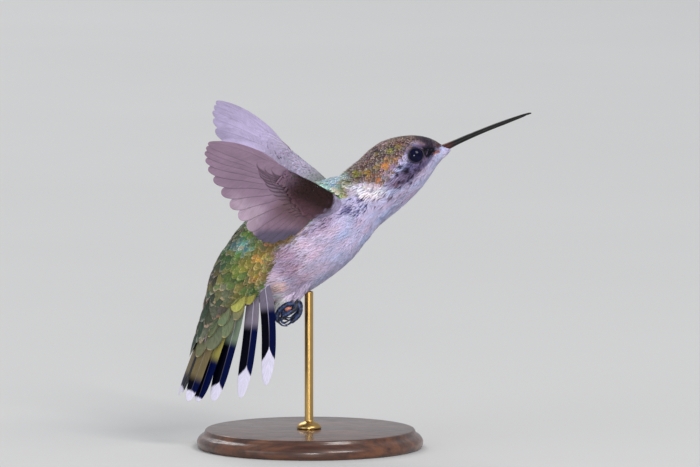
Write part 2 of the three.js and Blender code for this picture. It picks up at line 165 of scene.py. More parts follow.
def make_light(name, place, size, power, colour):
    light = bpy.data.lights.new(name, "AREA")
    light.size = size
    light.energy = power
    light.color = colour
    lamp = bpy.data.objects.new(name, light)
    lamp.location = place
    lamp.rotation_euler = (CAMERA_AIM - Vector(place)).to_track_quat("-Z", "Y").to_euler()
    bpy.context.scene.collection.objects.link(lamp)


def make_lights():
    for light in LIGHTS:
        make_light(*light)
    world = bpy.data.worlds.new("studio")
    world.use_nodes = True
    background = world.node_tree.nodes["Background"]
    background.inputs["Color"].default_value = STUDIO_COLOUR
    background.inputs["Strength"].default_value = STUDIO_LIGHT
    bpy.context.scene.world = world
    bpy.context.scene.view_settings.view_transform = "Standard"


# ---------------------------------------------------------------- node materials
def srgb(red, green, blue):
    """A colour given as 0 to 255 on a screen, as light."""
    c = np.array([red, green, blue]) / 255
    return np.where(c <= 0.04045, c / 12.92, ((c + 0.055) / 1.055) ** 2.4)


FINE_RELIEF = 0.00004  # in metres: how deep the grain is, where a material names no other depth


class Paint:
    """A node material, with short calls for the nodes that this model uses."""

    def __init__(self, name, roughness, metallic=0.0):
        self.material = bpy.data.materials.new(name)
        self.material.use_nodes = True
        self.tree = self.material.node_tree
        self.shader = self.tree.nodes["Principled BSDF"]
        self.shader.inputs["Roughness"].default_value = roughness
        self.shader.inputs["Metallic"].default_value = metallic

    def set(self, socket, value):
        """Sets or links one of the shader's sockets."""
        self._feed(self.shader.inputs[socket], value)

    def _feed(self, socket, value):
        if isinstance(value, bpy.types.NodeSocket):
            self.tree.links.new(value, socket)
        elif socket.type == "RGBA" and len(value) == 3:
            socket.default_value = (*value, 1)
        else:
            socket.default_value = value

    def node(self, kind, values=(), **settings):
        made = self.tree.nodes.new(kind)
        for key, value in settings.items():
            setattr(made, key, value)
        for key, value in dict(values).items():
            self._feed(made.inputs[key], value)
        return made

    def math(self, operation, *values):
        return self.node("ShaderNodeMath", dict(enumerate(values)), operation=operation).outputs[0]

    def times(self, a, b):
        return self.math("MULTIPLY", a, b)

    def plus(self, a, b):
        return self.math("ADD", a, b)

    def minus(self, a, b):
        return self.math("SUBTRACT", a, b)

    def attribute(self, name, output="Color"):
        return self.node("ShaderNodeAttribute", attribute_name=name).outputs[output]

    def axes(self, vector):
        return self.node("ShaderNodeSeparateXYZ", {0: vector}).outputs

    def vector(self, x, y, z):
        return self.node("ShaderNodeCombineXYZ", {0: x, 1: y, 2: z}).outputs[0]

    def mix(self, factor, a, b, blend="MIX"):
        made = self.node("ShaderNodeMix", {0: factor, 6: a, 7: b}, data_type="RGBA", blend_type=blend)
        return made.outputs[2]

    def fade(self, value, low, high, out_low=0.0, out_high=1.0):
        """A smooth step from one value to another."""
        values = {0: value, 1: low, 2: high, 3: out_low, 4: out_high}
        return self.node("ShaderNodeMapRange", values, interpolation_type="SMOOTHSTEP").outputs[0]

    def noise(self, vector, scale, detail=3.0, roughness=0.55):
        values = {"Vector": vector, "Scale": scale, "Detail": detail, "Roughness": roughness}
        return self.node("ShaderNodeTexNoise", values).outputs[0]

    def pebbles(self, scale):
        return self.node("ShaderNodeTexVoronoi", {"Vector": self.place(), "Scale": scale}).outputs[0]

    def place(self):
        return self.node("ShaderNodeTexCoord").outputs["Object"]

    def scaled_place(self, *scale):
        return self.node("ShaderNodeMapping", {"Vector": self.place(), "Scale": scale}).outputs[0]

    def shade(self, colour, light):
        """A colour made lighter or darker by a factor."""
        return self.mix(1.0, colour, self.vector(light, light, light), "MULTIPLY")

    def bump(self, height, strength, distance=FINE_RELIEF):
        values = {"Height": height, "Distance": distance, "Strength": strength}
        self.set("Normal", self.node("ShaderNodeBump", values).outputs[0])

    def vane(self):
        """Where on its feather a point is, and the feather's own random number.

        The answers are across from -1 to 1, how far from the shaft, how far from the root, and the number.
        """
        across, along, seed = self.axes(self.attribute("vane", "Vector"))[:3]
        return across, self.math("ABSOLUTE", across), along, seed

    def barbs(self, side, along, seed, count, slant):
        """Fine oblique lines from the shaft of a feather out to its edge."""
        lie = self.minus(self.times(along, count), self.times(side, slant))
        return self.noise(self.vector(lie, side, self.times(seed, 50)), 1.6, 2.0)


def paint_feathers(name, roughness, barbs, contrast, root_light, tip_power=1.0, ragged=0.35):
    """Small feathers: a middle and a rim colour from attributes of the mesh, streaked along the barbs.

    barbs is how many streaks there are along and across a feather, contrast how much lighter and darker
    they are, and root_light how light the root is beside the tip, which is painted shade under the
    feathers that overlap it. A high tip_power keeps the rim narrow at the tip of a long feather, and
    ragged is how far the barbs carry it inwards.
    """
    paint = Paint(name, roughness)
    across, side, along, seed = paint.vane()
    outline = paint.math("MAXIMUM", paint.math("POWER", side, 2.0), paint.math("POWER", along, tip_power))
    inner = paint.minus(1.0, paint.attribute("rim", "Alpha"))
    slant = paint.minus(along, paint.times(side, 0.5))
    lie = paint.vector(paint.times(slant, barbs[0]), paint.times(across, barbs[1]), paint.times(seed, 61.0))
    streak = paint.noise(lie, 1.0, 3.0, 0.6)
    rough_edge = paint.plus(outline, paint.times(paint.minus(streak, 0.5), ragged))
    rim_part = paint.fade(rough_edge, inner, paint.plus(inner, 0.16))
    colour = paint.mix(rim_part, paint.attribute("mid"), paint.attribute("rim"))
    # The root is painted darker than the tip, as painted shade under the feathers that lie over it.
    light = paint.times(paint.fade(streak, 0.3, 0.7, 1 - contrast, 1 + contrast * 0.9),
                        paint.fade(along, 0.1, 0.7, root_light, 1.0))
    paint.set("Base Color", paint.shade(colour, light))
    metal = paint.attribute("mid", "Alpha")
    paint.set("Metallic", metal)
    paint.set("Roughness", paint.minus(roughness, paint.times(metal, 0.5)))
    paint.set("Specular IOR Level", 0.2)
    paint.bump(streak, contrast)
    return paint.material


# ---------------------------------------------------------------- meshes
# How much small feathers are shaded like the surface that they lie on: firm ones and downy ones.
SOFT_SCALES = 0.5
SOFT_WISPS = 0.85


def add_attributes(mesh, attributes):
    """Vectors of 3 and colours of 4 numbers for the points of a mesh."""
    for key, values in attributes.items():
        kind, socket = ("FLOAT_VECTOR", "vector") if values.shape[1] == 3 else ("FLOAT_COLOR", "color")
        made = mesh.attributes.new(key, kind, "POINT")
        made.data.foreach_set(socket, values.astype(np.float32).ravel())


def read_points(mesh, key):
    values = np.empty(len(mesh.vertices) * 3, np.float32)
    mesh.vertices.foreach_get(key, values)
    return values.reshape(-1, 3)


def new_piece(name, points, faces, material, slot=None, replaces=(), attributes=None, uv=None, lie=None,
              soft=SOFT_SCALES):
    """A mesh object from points in millimetres and rows of 3 or 4 point numbers.

    lie holds normals of the surface below, and soft is how much the mesh is shaded by them and not its own.
    """
    mesh = bpy.data.meshes.new(name)
    count, corners = faces.shape
    mesh.vertices.add(len(points))
    mesh.vertices.foreach_set("co", (points * MM).astype(np.float32).ravel())
    mesh.loops.add(count * corners)
    mesh.loops.foreach_set("vertex_index", faces.astype(np.int32).ravel())
    mesh.polygons.add(count)
    mesh.polygons.foreach_set("loop_start", np.arange(0, count * corners, corners, dtype=np.int32))
    mesh.polygons.foreach_set("use_smooth", np.full(count, True))
    add_attributes(mesh, attributes or {})
    if uv is not None:
        layer = mesh.uv_layers.new(name="OFBake")
        layer.data.foreach_set("uv", uv[faces.ravel()].astype(np.float32).ravel())
    mesh.update(calc_edges=True)
    mesh.validate()
    if lie is not None:
        mesh.normals_split_custom_set_from_vertices(unit(blend(read_points(mesh, "normal"), lie, soft)))
    mesh.materials.append(material)
    piece = bpy.data.objects.new(name, mesh)
    bpy.context.scene.collection.objects.link(piece)
    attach(piece, "root")
    if replaces:
        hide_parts(*replaces)
    return piece


def grid_faces(rows, columns, closed):
    """Quads between the points of a grid, whose columns may close on themselves."""
    i, j = np.meshgrid(np.arange(rows - 1), np.arange(columns if closed else columns - 1), indexing="ij")
    here, beside = i * columns + j, i * columns + (j + 1) % columns
    return np.stack([here, beside, beside + columns, here + columns], -1).reshape(-1, 4)


def lens_faces(rows, columns):
    """Which points of a grid are its rim, and the quads of a closed lens over it.

    The grid's points are the lens's top. Its underside shares the rim, and has a point of its own for each
    of the others.
    """
    rim = np.ones((rows, columns), bool)
    rim[1:-1, 1:-1] = False
    below = np.arange(rim.size).reshape(rim.shape)
    below[~rim] = rim.size + np.arange((~rim).sum())
    quads = grid_faces(rows, columns, False)
    return rim, np.vstack([quads, below.ravel()[quads][:, ::-1]])


def outward_faces(points, faces):
    """The faces turned so that they face out, judged by the volume that they enclose."""
    a, b, c, d = (points[faces[:, k]] for k in (0, 1, 2, -1))
    volume = dots(a, np.cross(b, c)).sum() + dots(a, np.cross(c, d)).sum()
    return faces if volume > 0 else faces[:, ::-1]


def join(parts):
    """The points and faces of several meshes as those of one."""
    starts = np.cumsum([0] + [len(part[0]) for part in parts[:-1]])
    faces = np.vstack([part[1] + start for part, start in zip(parts, starts)])
    return np.vstack([part[0] for part in parts]), faces


def tube_with_ends(rings):
    """Points and triangles of a closed skin over rings of equally many points."""
    rows, columns = rings.shape[:2]
    quads = grid_faces(rows, columns, True)
    points = np.vstack([rings.reshape(-1, 3), rings[0].mean(0), rings[-1].mean(0)])
    here = np.arange(columns)
    beside = (here + 1) % columns
    last = (rows - 1) * columns
    first_end = np.column_stack([beside, here, np.full(columns, rows * columns)])
    last_end = np.column_stack([last + here, last + beside, np.full(columns, rows * columns + 1)])
    faces = np.vstack([quads[:, [0, 1, 2]], quads[:, [0, 2, 3]], first_end, last_end])
    return points, outward_faces(points, faces)


CURVE_STEPS = 24  # between two knots


def with_ends(knots):
    """The knots with one more straight on at each end."""
    knots = np.asarray(knots, float)
    return np.vstack([2 * knots[0] - knots[1], knots, 2 * knots[-1] - knots[-2]])


def spline(a, b, c, d, t):
    """The place at t, from 0 at b to 1 at c, on a smooth curve that comes from a and goes on to d."""
    return b + 0.5 * t * (c - a + t * (2 * a - 5 * b + 4 * c - d + t * (3 * (b - c) + d - a)))


def curve_through(knots, count):
    """Evenly spaced points on a smooth curve through the knots."""
    ends = with_ends(knots)
    t = np.linspace(0, 1, CURVE_STEPS, endpoint=False)[:, None]
    pieces = [spline(*four, t) for four in zip(ends, ends[1:], ends[2:], ends[3:])]
    fine = np.vstack([*pieces, ends[-2]])
    reach = np.concatenate([[0], np.cumsum(np.linalg.norm(np.diff(fine, axis=0), axis=1))])
    even = np.linspace(0, reach[-1], count)
    return np.column_stack([np.interp(even, reach, fine[:, k]) for k in range(fine.shape[1])])


def along_curve(knots, count):
    """Points on a smooth curve through the knots, at even steps of the curve's own parameter."""
    ends = with_ends(knots)
    places = np.linspace(0, len(ends) - 3, count)
    i = np.minimum(places.astype(int), len(ends) - 4)
    return spline(*(ends[i + k] for k in range(4)), (places - i)[:, None])


def unit(vectors):
    return vectors / np.maximum(np.linalg.norm(vectors, axis=-1, keepdims=True), 1e-9)


def dots(a, b):
    """The dot product of each row of a with the same row of b."""
    return np.einsum("ij,ij->i", a, b)


def blend(a, b, share):
    """From a, at a share of 0, to b, at a share of 1."""
    return a * (1 - share) + b * share


def square_to(vectors, ways):
    """What is left of each vector when its part along a unit vector is taken away."""
    return vectors - ways * dots(vectors, ways)[:, None]


def part_way(pair, t):
    """What lies this share of the way from the first of a pair to the second."""
    return pair[0] + (pair[1] - pair[0]) * t


def full_turn(count):
    """Evenly spaced angles, once round."""
    return np.linspace(0, 2 * math.pi, count, endpoint=False)


def smooth_step(value, low, high):
    t = np.clip((value - low) / (high - low), 0, 1)
    return t * t * (3 - 2 * t)


def ripple(points, length):
    """A smooth random value at each place, from about -1 to 1, with waves about this long."""
    waves = rng.normal(0, 3.6 / length, (10, 3))
    return np.sin(points @ waves.T + rng.uniform(0, 2 * math.pi, 10)).sum(1) / 3.5


# ---------------------------------------------------------------- surfaces that feathers grow on
class Surface:
    """A sheet of points in rows, the way its feathers lie, and columns, with its outward normals."""

    def __init__(self, points, closed, outward=None):
        self.points, self.closed = points, closed
        self.rows, self.columns = points.shape[:2]
        down = np.gradient(points, axis=0)
        if closed:
            along = (np.roll(points, -1, 1) - np.roll(points, 1, 1)) / 2
        else:
            along = np.gradient(points, axis=1)
        normals = unit(np.cross(along, down))
        centre = points.mean(1, keepdims=True) if outward is None else points - outward
        if ((points - centre) * normals).sum() < 0:
            normals = -normals
        self.normals = normals
        self.row_step = np.linalg.norm(down, axis=-1)
        self.column_step = np.linalg.norm(along, axis=-1)

    def _cells(self, p, q):
        i = np.clip(np.floor(p).astype(int), 0, self.rows - 2)
        if self.closed:
            j = np.floor(q).astype(int)
            return i, i + 1, j % self.columns, (j + 1) % self.columns, p - i, q - j
        j = np.clip(np.floor(q).astype(int), 0, self.columns - 2)
        return i, i + 1, j, j + 1, p - i, q - j

    def sample(self, values, p, q):
        """Values of the grid between its points, carried on straight past its ends."""
        i, i1, j, j1, s, t = self._cells(p, q)
        if values.ndim == 3:
            s, t = s[..., None], t[..., None]
        near = blend(values[i, j], values[i, j1], t)
        far = blend(values[i1, j], values[i1, j1], t)
        return blend(near, far, s)

    def at(self, p, q):
        return self.sample(self.points, p, q), unit(self.sample(self.normals, p, q))


BIN_SIZE = 0.5  # of the cells by which the kept spots are found again


def has_room(place, room, taken):
    """Whether no kept spot lies closer to a place than this."""
    ranges = [range(int((x - room) // BIN_SIZE), int((x + room) // BIN_SIZE) + 1) for x in place]
    for cell in itertools.product(*ranges):
        for other in taken.get(cell, ()):
            if sum((x - y) ** 2 for x, y in zip(place, other)) < room * room:
                return False
    return True


def scatter(surface, spacing, tries=9):
    """Rows and columns of random spots, no closer together than the spacing there. 0 means none."""
    area = surface.row_step * surface.column_step
    wanted = np.where(spacing > 0, area / np.maximum(spacing, 1e-6) ** 2, 0)
    count = int(wanted.sum() * tries / 2)
    cell = rng.choice(wanted.size, count, p=(wanted / wanted.sum()).ravel())
    p = np.clip(cell // surface.columns + rng.uniform(-0.5, 0.5, count), 0, surface.rows - 1)
    q = cell % surface.columns + rng.uniform(-0.5, 0.5, count)
    if not surface.closed:
        q = np.clip(q, 0, surface.columns - 1)
    places = surface.at(p, q)[0]
    near = spacing.ravel()[cell]
    taken = {}
    kept = []
    for k, (place, room) in enumerate(zip(places.tolist(), near.tolist())):
        if has_room(place, room, taken):
            taken.setdefault(tuple(int(x // BIN_SIZE) for x in place), []).append(place)
            kept.append(k)
    return p[kept], q[kept]


# ---------------------------------------------------------------- vanes
class Vane:
    """A small feather as a closed lens: a top and an underside that share one outline.

    base is its width at the root, roundness how far its corners fall back, and teeth how deep its end is
    frayed. narrow is how much it tapers to its tip, belly how thick it is, and cup how high it arches.
    """

    def __init__(self, rows, columns, base, roundness, teeth, narrow=0.0, belly=0.06, cup=0.05):
        t = np.linspace(0, 1, rows)[:, None]
        u = np.linspace(-1, 1, columns)[None]
        frayed = teeth * ((np.arange(columns) % 2) * 0.8 + rng.uniform(0, 0.4, columns))
        along = t * (1 - roundness * np.abs(u) ** 2) * (1 - frayed)
        spread = base + (1 - base) * np.sin(np.minimum(along / 0.5, 1) * math.pi / 2)
        spread = spread * (1 - narrow * smooth_step(along, 0.5, 1.0))
        rim, self.faces = lens_faces(rows, columns)
        arch = cup * (1 - u * u) * np.sin(math.pi * np.minimum(t + 0.15, 1))
        swell = np.where(rim, 0, belly * (1 - u * u) * np.sin(math.pi * t) ** 0.5)
        both = [u * spread, along, np.broadcast_to(u, rim.shape), np.broadcast_to(t, rim.shape)]
        self.across, self.along, self.u, self.t = (np.concatenate([x.ravel(), x[~rim]]) for x in both)
        self.height = np.concatenate([(arch + swell / 2).ravel(), (arch - swell / 2)[~rim]])
        self.size = len(self.across)


def lay(surface, vane, p, q, length, width, turn, deep, rise, seeds):
    """Every vane laid over the surface from its root.

    The answers are points, faces, each point's u, t and seed, and the surface's normal at each point.
    """
    row_mm = surface.sample(surface.row_step, p, q)[:, None]
    column_mm = np.maximum(surface.sample(surface.column_step, p, q), 0.02)[:, None]
    x = vane.across[None] * width[:, None] / 2
    y = vane.along[None] * length[:, None]
    c, s = np.cos(turn)[:, None], np.sin(turn)[:, None]
    rows = p[:, None] + (x * s + y * c) / row_mm
    columns = q[:, None] + (x * c - y * s) / column_mm
    places, normals = surface.at(rows, columns)
    share = np.minimum(vane.along[None], 1)
    height = -deep[:, None] * (1 - share) ** 1.6 + rise[:, None] * share ** 1.5
    height = height + vane.height[None] * width[:, None]
    points = (places + normals * height[..., None]).reshape(-1, 3)
    normals = normals.reshape(-1, 3)
    faces = (vane.faces[None] + (np.arange(len(p)) * vane.size)[:, None, None]).reshape(-1, 4)
    vane_at = np.stack(np.broadcast_arrays(vane.u[None], vane.t[None], seeds[:, None]), -1).reshape(-1, 3)
    return points, faces, vane_at, normals


BAKE_PATCH = 0.003  # how wide a small feather is on its bake map


def bake_places(surface, vane, p, q):
    """Each vane as a small patch at its root's place on an unwrap of the surface."""
    u = (q / surface.columns) % 1 if surface.closed else q / surface.columns
    root = np.stack([0.01 + 0.98 * u, 0.01 + 0.98 * p / surface.rows], -1)
    inside = np.stack([vane.u / 2, vane.t - 0.5], -1) * BAKE_PATCH
    return (root[:, None] + inside[None]).reshape(-1, 2)


def coat_piece(name, surface, vane, p, q, sizes, looks, material, soft=SOFT_SCALES):
    """A piece of many small feathers. sizes and looks hold one row for each feather."""
    seeds = rng.uniform(0, 1, len(p))
    points, faces, vane_at, lie = lay(surface, vane, p, q, *sizes, seeds)

    def repeat(values):
        return np.repeat(values, vane.size, axis=0)

    attributes = {
        "vane": vane_at,
        "mid": repeat(np.column_stack([looks["mid"], looks["metal"]])),
        "rim": repeat(np.column_stack([looks["rim"], looks["rim_width"]])),
    }
    places = bake_places(surface, vane, p, q)
    faces = outward_faces(points, faces)
    return new_piece(name, points, faces, material, "plumage", (), attributes, places, lie, soft)


# ---------------------------------------------------------------- the body's surface
def nodes_tree(names):
    """One tree for rays against several nodes, in millimetres."""
    points, faces = [], []
    for name in names:
        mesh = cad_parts[name].data
        start = len(points)
        points += [v.co / MM for v in mesh.vertices]
        faces += [[start + k for k in polygon.vertices] for polygon in mesh.polygons]
    return BVHTree.FromPolygons(points, faces)


def smooth_grid(values, passes):
    """Each value averaged with its neighbours, around and along."""
    for _ in range(passes):
        around = (np.roll(values, 1, 1) + np.roll(values, -1, 1) + 2 * values) / 4
        inner = (around[:-2] + around[2:] + 2 * around[1:-1]) / 4
        values = np.concatenate([around[:1], inner, around[-1:]])
    return values


def body_surface():
    """The outside of head, neck, trunk and rump as one smooth sheet, carried on over the tail's root."""
    line = curve_through(SPINE, BODY_ROWS)
    ahead = unit(np.gradient(line, axis=0))
    tree = nodes_tree(FLESH)
    angle = full_turn(BODY_COLUMNS)
    eyes = [Vector(place) for place in eye_places()]
    radius = np.full((BODY_ROWS, BODY_COLUMNS), np.nan)
    socket = np.zeros(radius.shape, bool)
    ways = np.zeros((BODY_ROWS, BODY_COLUMNS, 3))
    for i, ((x, z), (dx, dz)) in enumerate(zip(line, ahead)):
        up = np.array([dz, 0, -dx]) if -dx > 0 else np.array([-dz, 0, dx])
        for j, a in enumerate(angle):
            way = up * math.cos(a) + np.array([0, math.sin(a), 0])
            ways[i, j] = way
            start = Vector((x, 0, z)) + Vector(way) * BODY_REACH
            hit = tree.ray_cast(start, -Vector(way), BODY_REACH)
            socket[i, j] = hit[0] is not None and min((hit[0] - eye).length for eye in eyes) < EYE_SOCKET
            if hit[0] is not None and not socket[i, j]:
                radius[i, j] = BODY_REACH - hit[3]
    rows = np.arange(BODY_ROWS)
    for j in range(BODY_COLUMNS):
        good = ~np.isnan(radius[:, j])
        gap = rows[socket[:, j]]
        if len(gap):
            # The head's curve is carried on over the socket.
            round_gap = good & (rows > gap[0] - SOCKET_MARGIN) & (rows < gap[-1] + SOCKET_MARGIN)
            curve = np.polyfit(rows[round_gap] - gap[0], radius[round_gap, j], SOCKET_CURVE)
            radius[gap, j] = np.polyval(curve, gap - gap[0])
            good = good | socket[:, j]
        radius[:, j] = np.interp(rows, rows[good], radius[good, j])
    # A ray that slips into a cut between two solids ends too deep: the median of its neighbours mends it.
    padded = np.pad(radius, ((BODY_MEDIAN // 2, BODY_MEDIAN // 2), (0, 0)), mode="edge")
    radius = np.median(np.stack([padded[k:k + BODY_ROWS] for k in range(BODY_MEDIAN)]), axis=0)
    radius = smooth_grid(radius, 4)
    spine = np.column_stack([line[:, 0], np.zeros(BODY_ROWS), line[:, 1]])
    points = settle_round_eyes(spine[:, None] + ways * radius[..., None])
    first, last = points[0], points[-1]
    ahead, behind = [], []
    for k in range(BILL_ROWS, 0, -1):
        tighter = 1 - 0.60 * (k / BILL_ROWS) ** 1.2
        ahead.append(first.mean(0) + (first - first.mean(0)) * tighter + BILL_AXIS * BILL_ROW_STEP * k)
    for k in range(1, TAIL_ROWS + 1):
        flatter = 1 - 0.35 * k / TAIL_ROWS
        behind.append(last.mean(0) + (last - last.mean(0)) * flatter + TAIL_AXIS * TAIL_ROW_STEP * k)
    return Surface(np.concatenate([ahead, points, behind]), True)


def body_reach(surface, p):
    """How far rows of the body's surface are from the bill's root, along the body in millimetres."""
    spine = surface.points.mean(1)
    steps = np.linalg.norm(np.diff(spine, axis=0), axis=1)
    reach = np.concatenate([[0], np.cumsum(steps)]) - BILL_ROWS * BILL_ROW_STEP
    return np.interp(p, np.arange(surface.rows), reach)


# ---------------------------------------------------------------- markings
# The lower edge of the dark and green upper side, seen from the side: x, z.
UPPER_SIDE = np.array([
    (-21.5, 19.0), (-15.0, 24.6), (-11.0, 26.5), (-9.6, 27.5), (-8.9, 29.4), (-7.4, 33.1), (-6.5, 36.4),
    (-4.6, 38.7), (-2.4, 40.2), (0.0, 42.5), (3.7, 45.5), (6.3, 46.9), (7.5, 48.8), (8.6, 49.1), (9.6, 48.5),
    (12.0, 47.9), (13.7, 48.7), (14.8, 50.4), (16.1, 52.3), (17.4, 53.9), (18.1, 55.2), (19.4, 56.3),
    (21.3, 56.1), (22.8, 55.9), (24.8, 56.2)])
SIDE_SLANT = 0.0963  # how much lower a mark stands, for each millimetre outwards, in the side view


def patch_weight(x, z, centre, radii, turn, soft=0.35):
    """1 inside an ellipse of the side view and 0 outside it, with a soft edge."""
    c, s = math.cos(math.radians(turn)), math.sin(math.radians(turn))
    dx, dz = x - centre[0], z - centre[1]
    reach = np.hypot((dx * c + dz * s) / radii[0], (dz * c - dx * s) / radii[1])
    return 1 - smooth_step(reach, 1 - soft, 1 + soft)


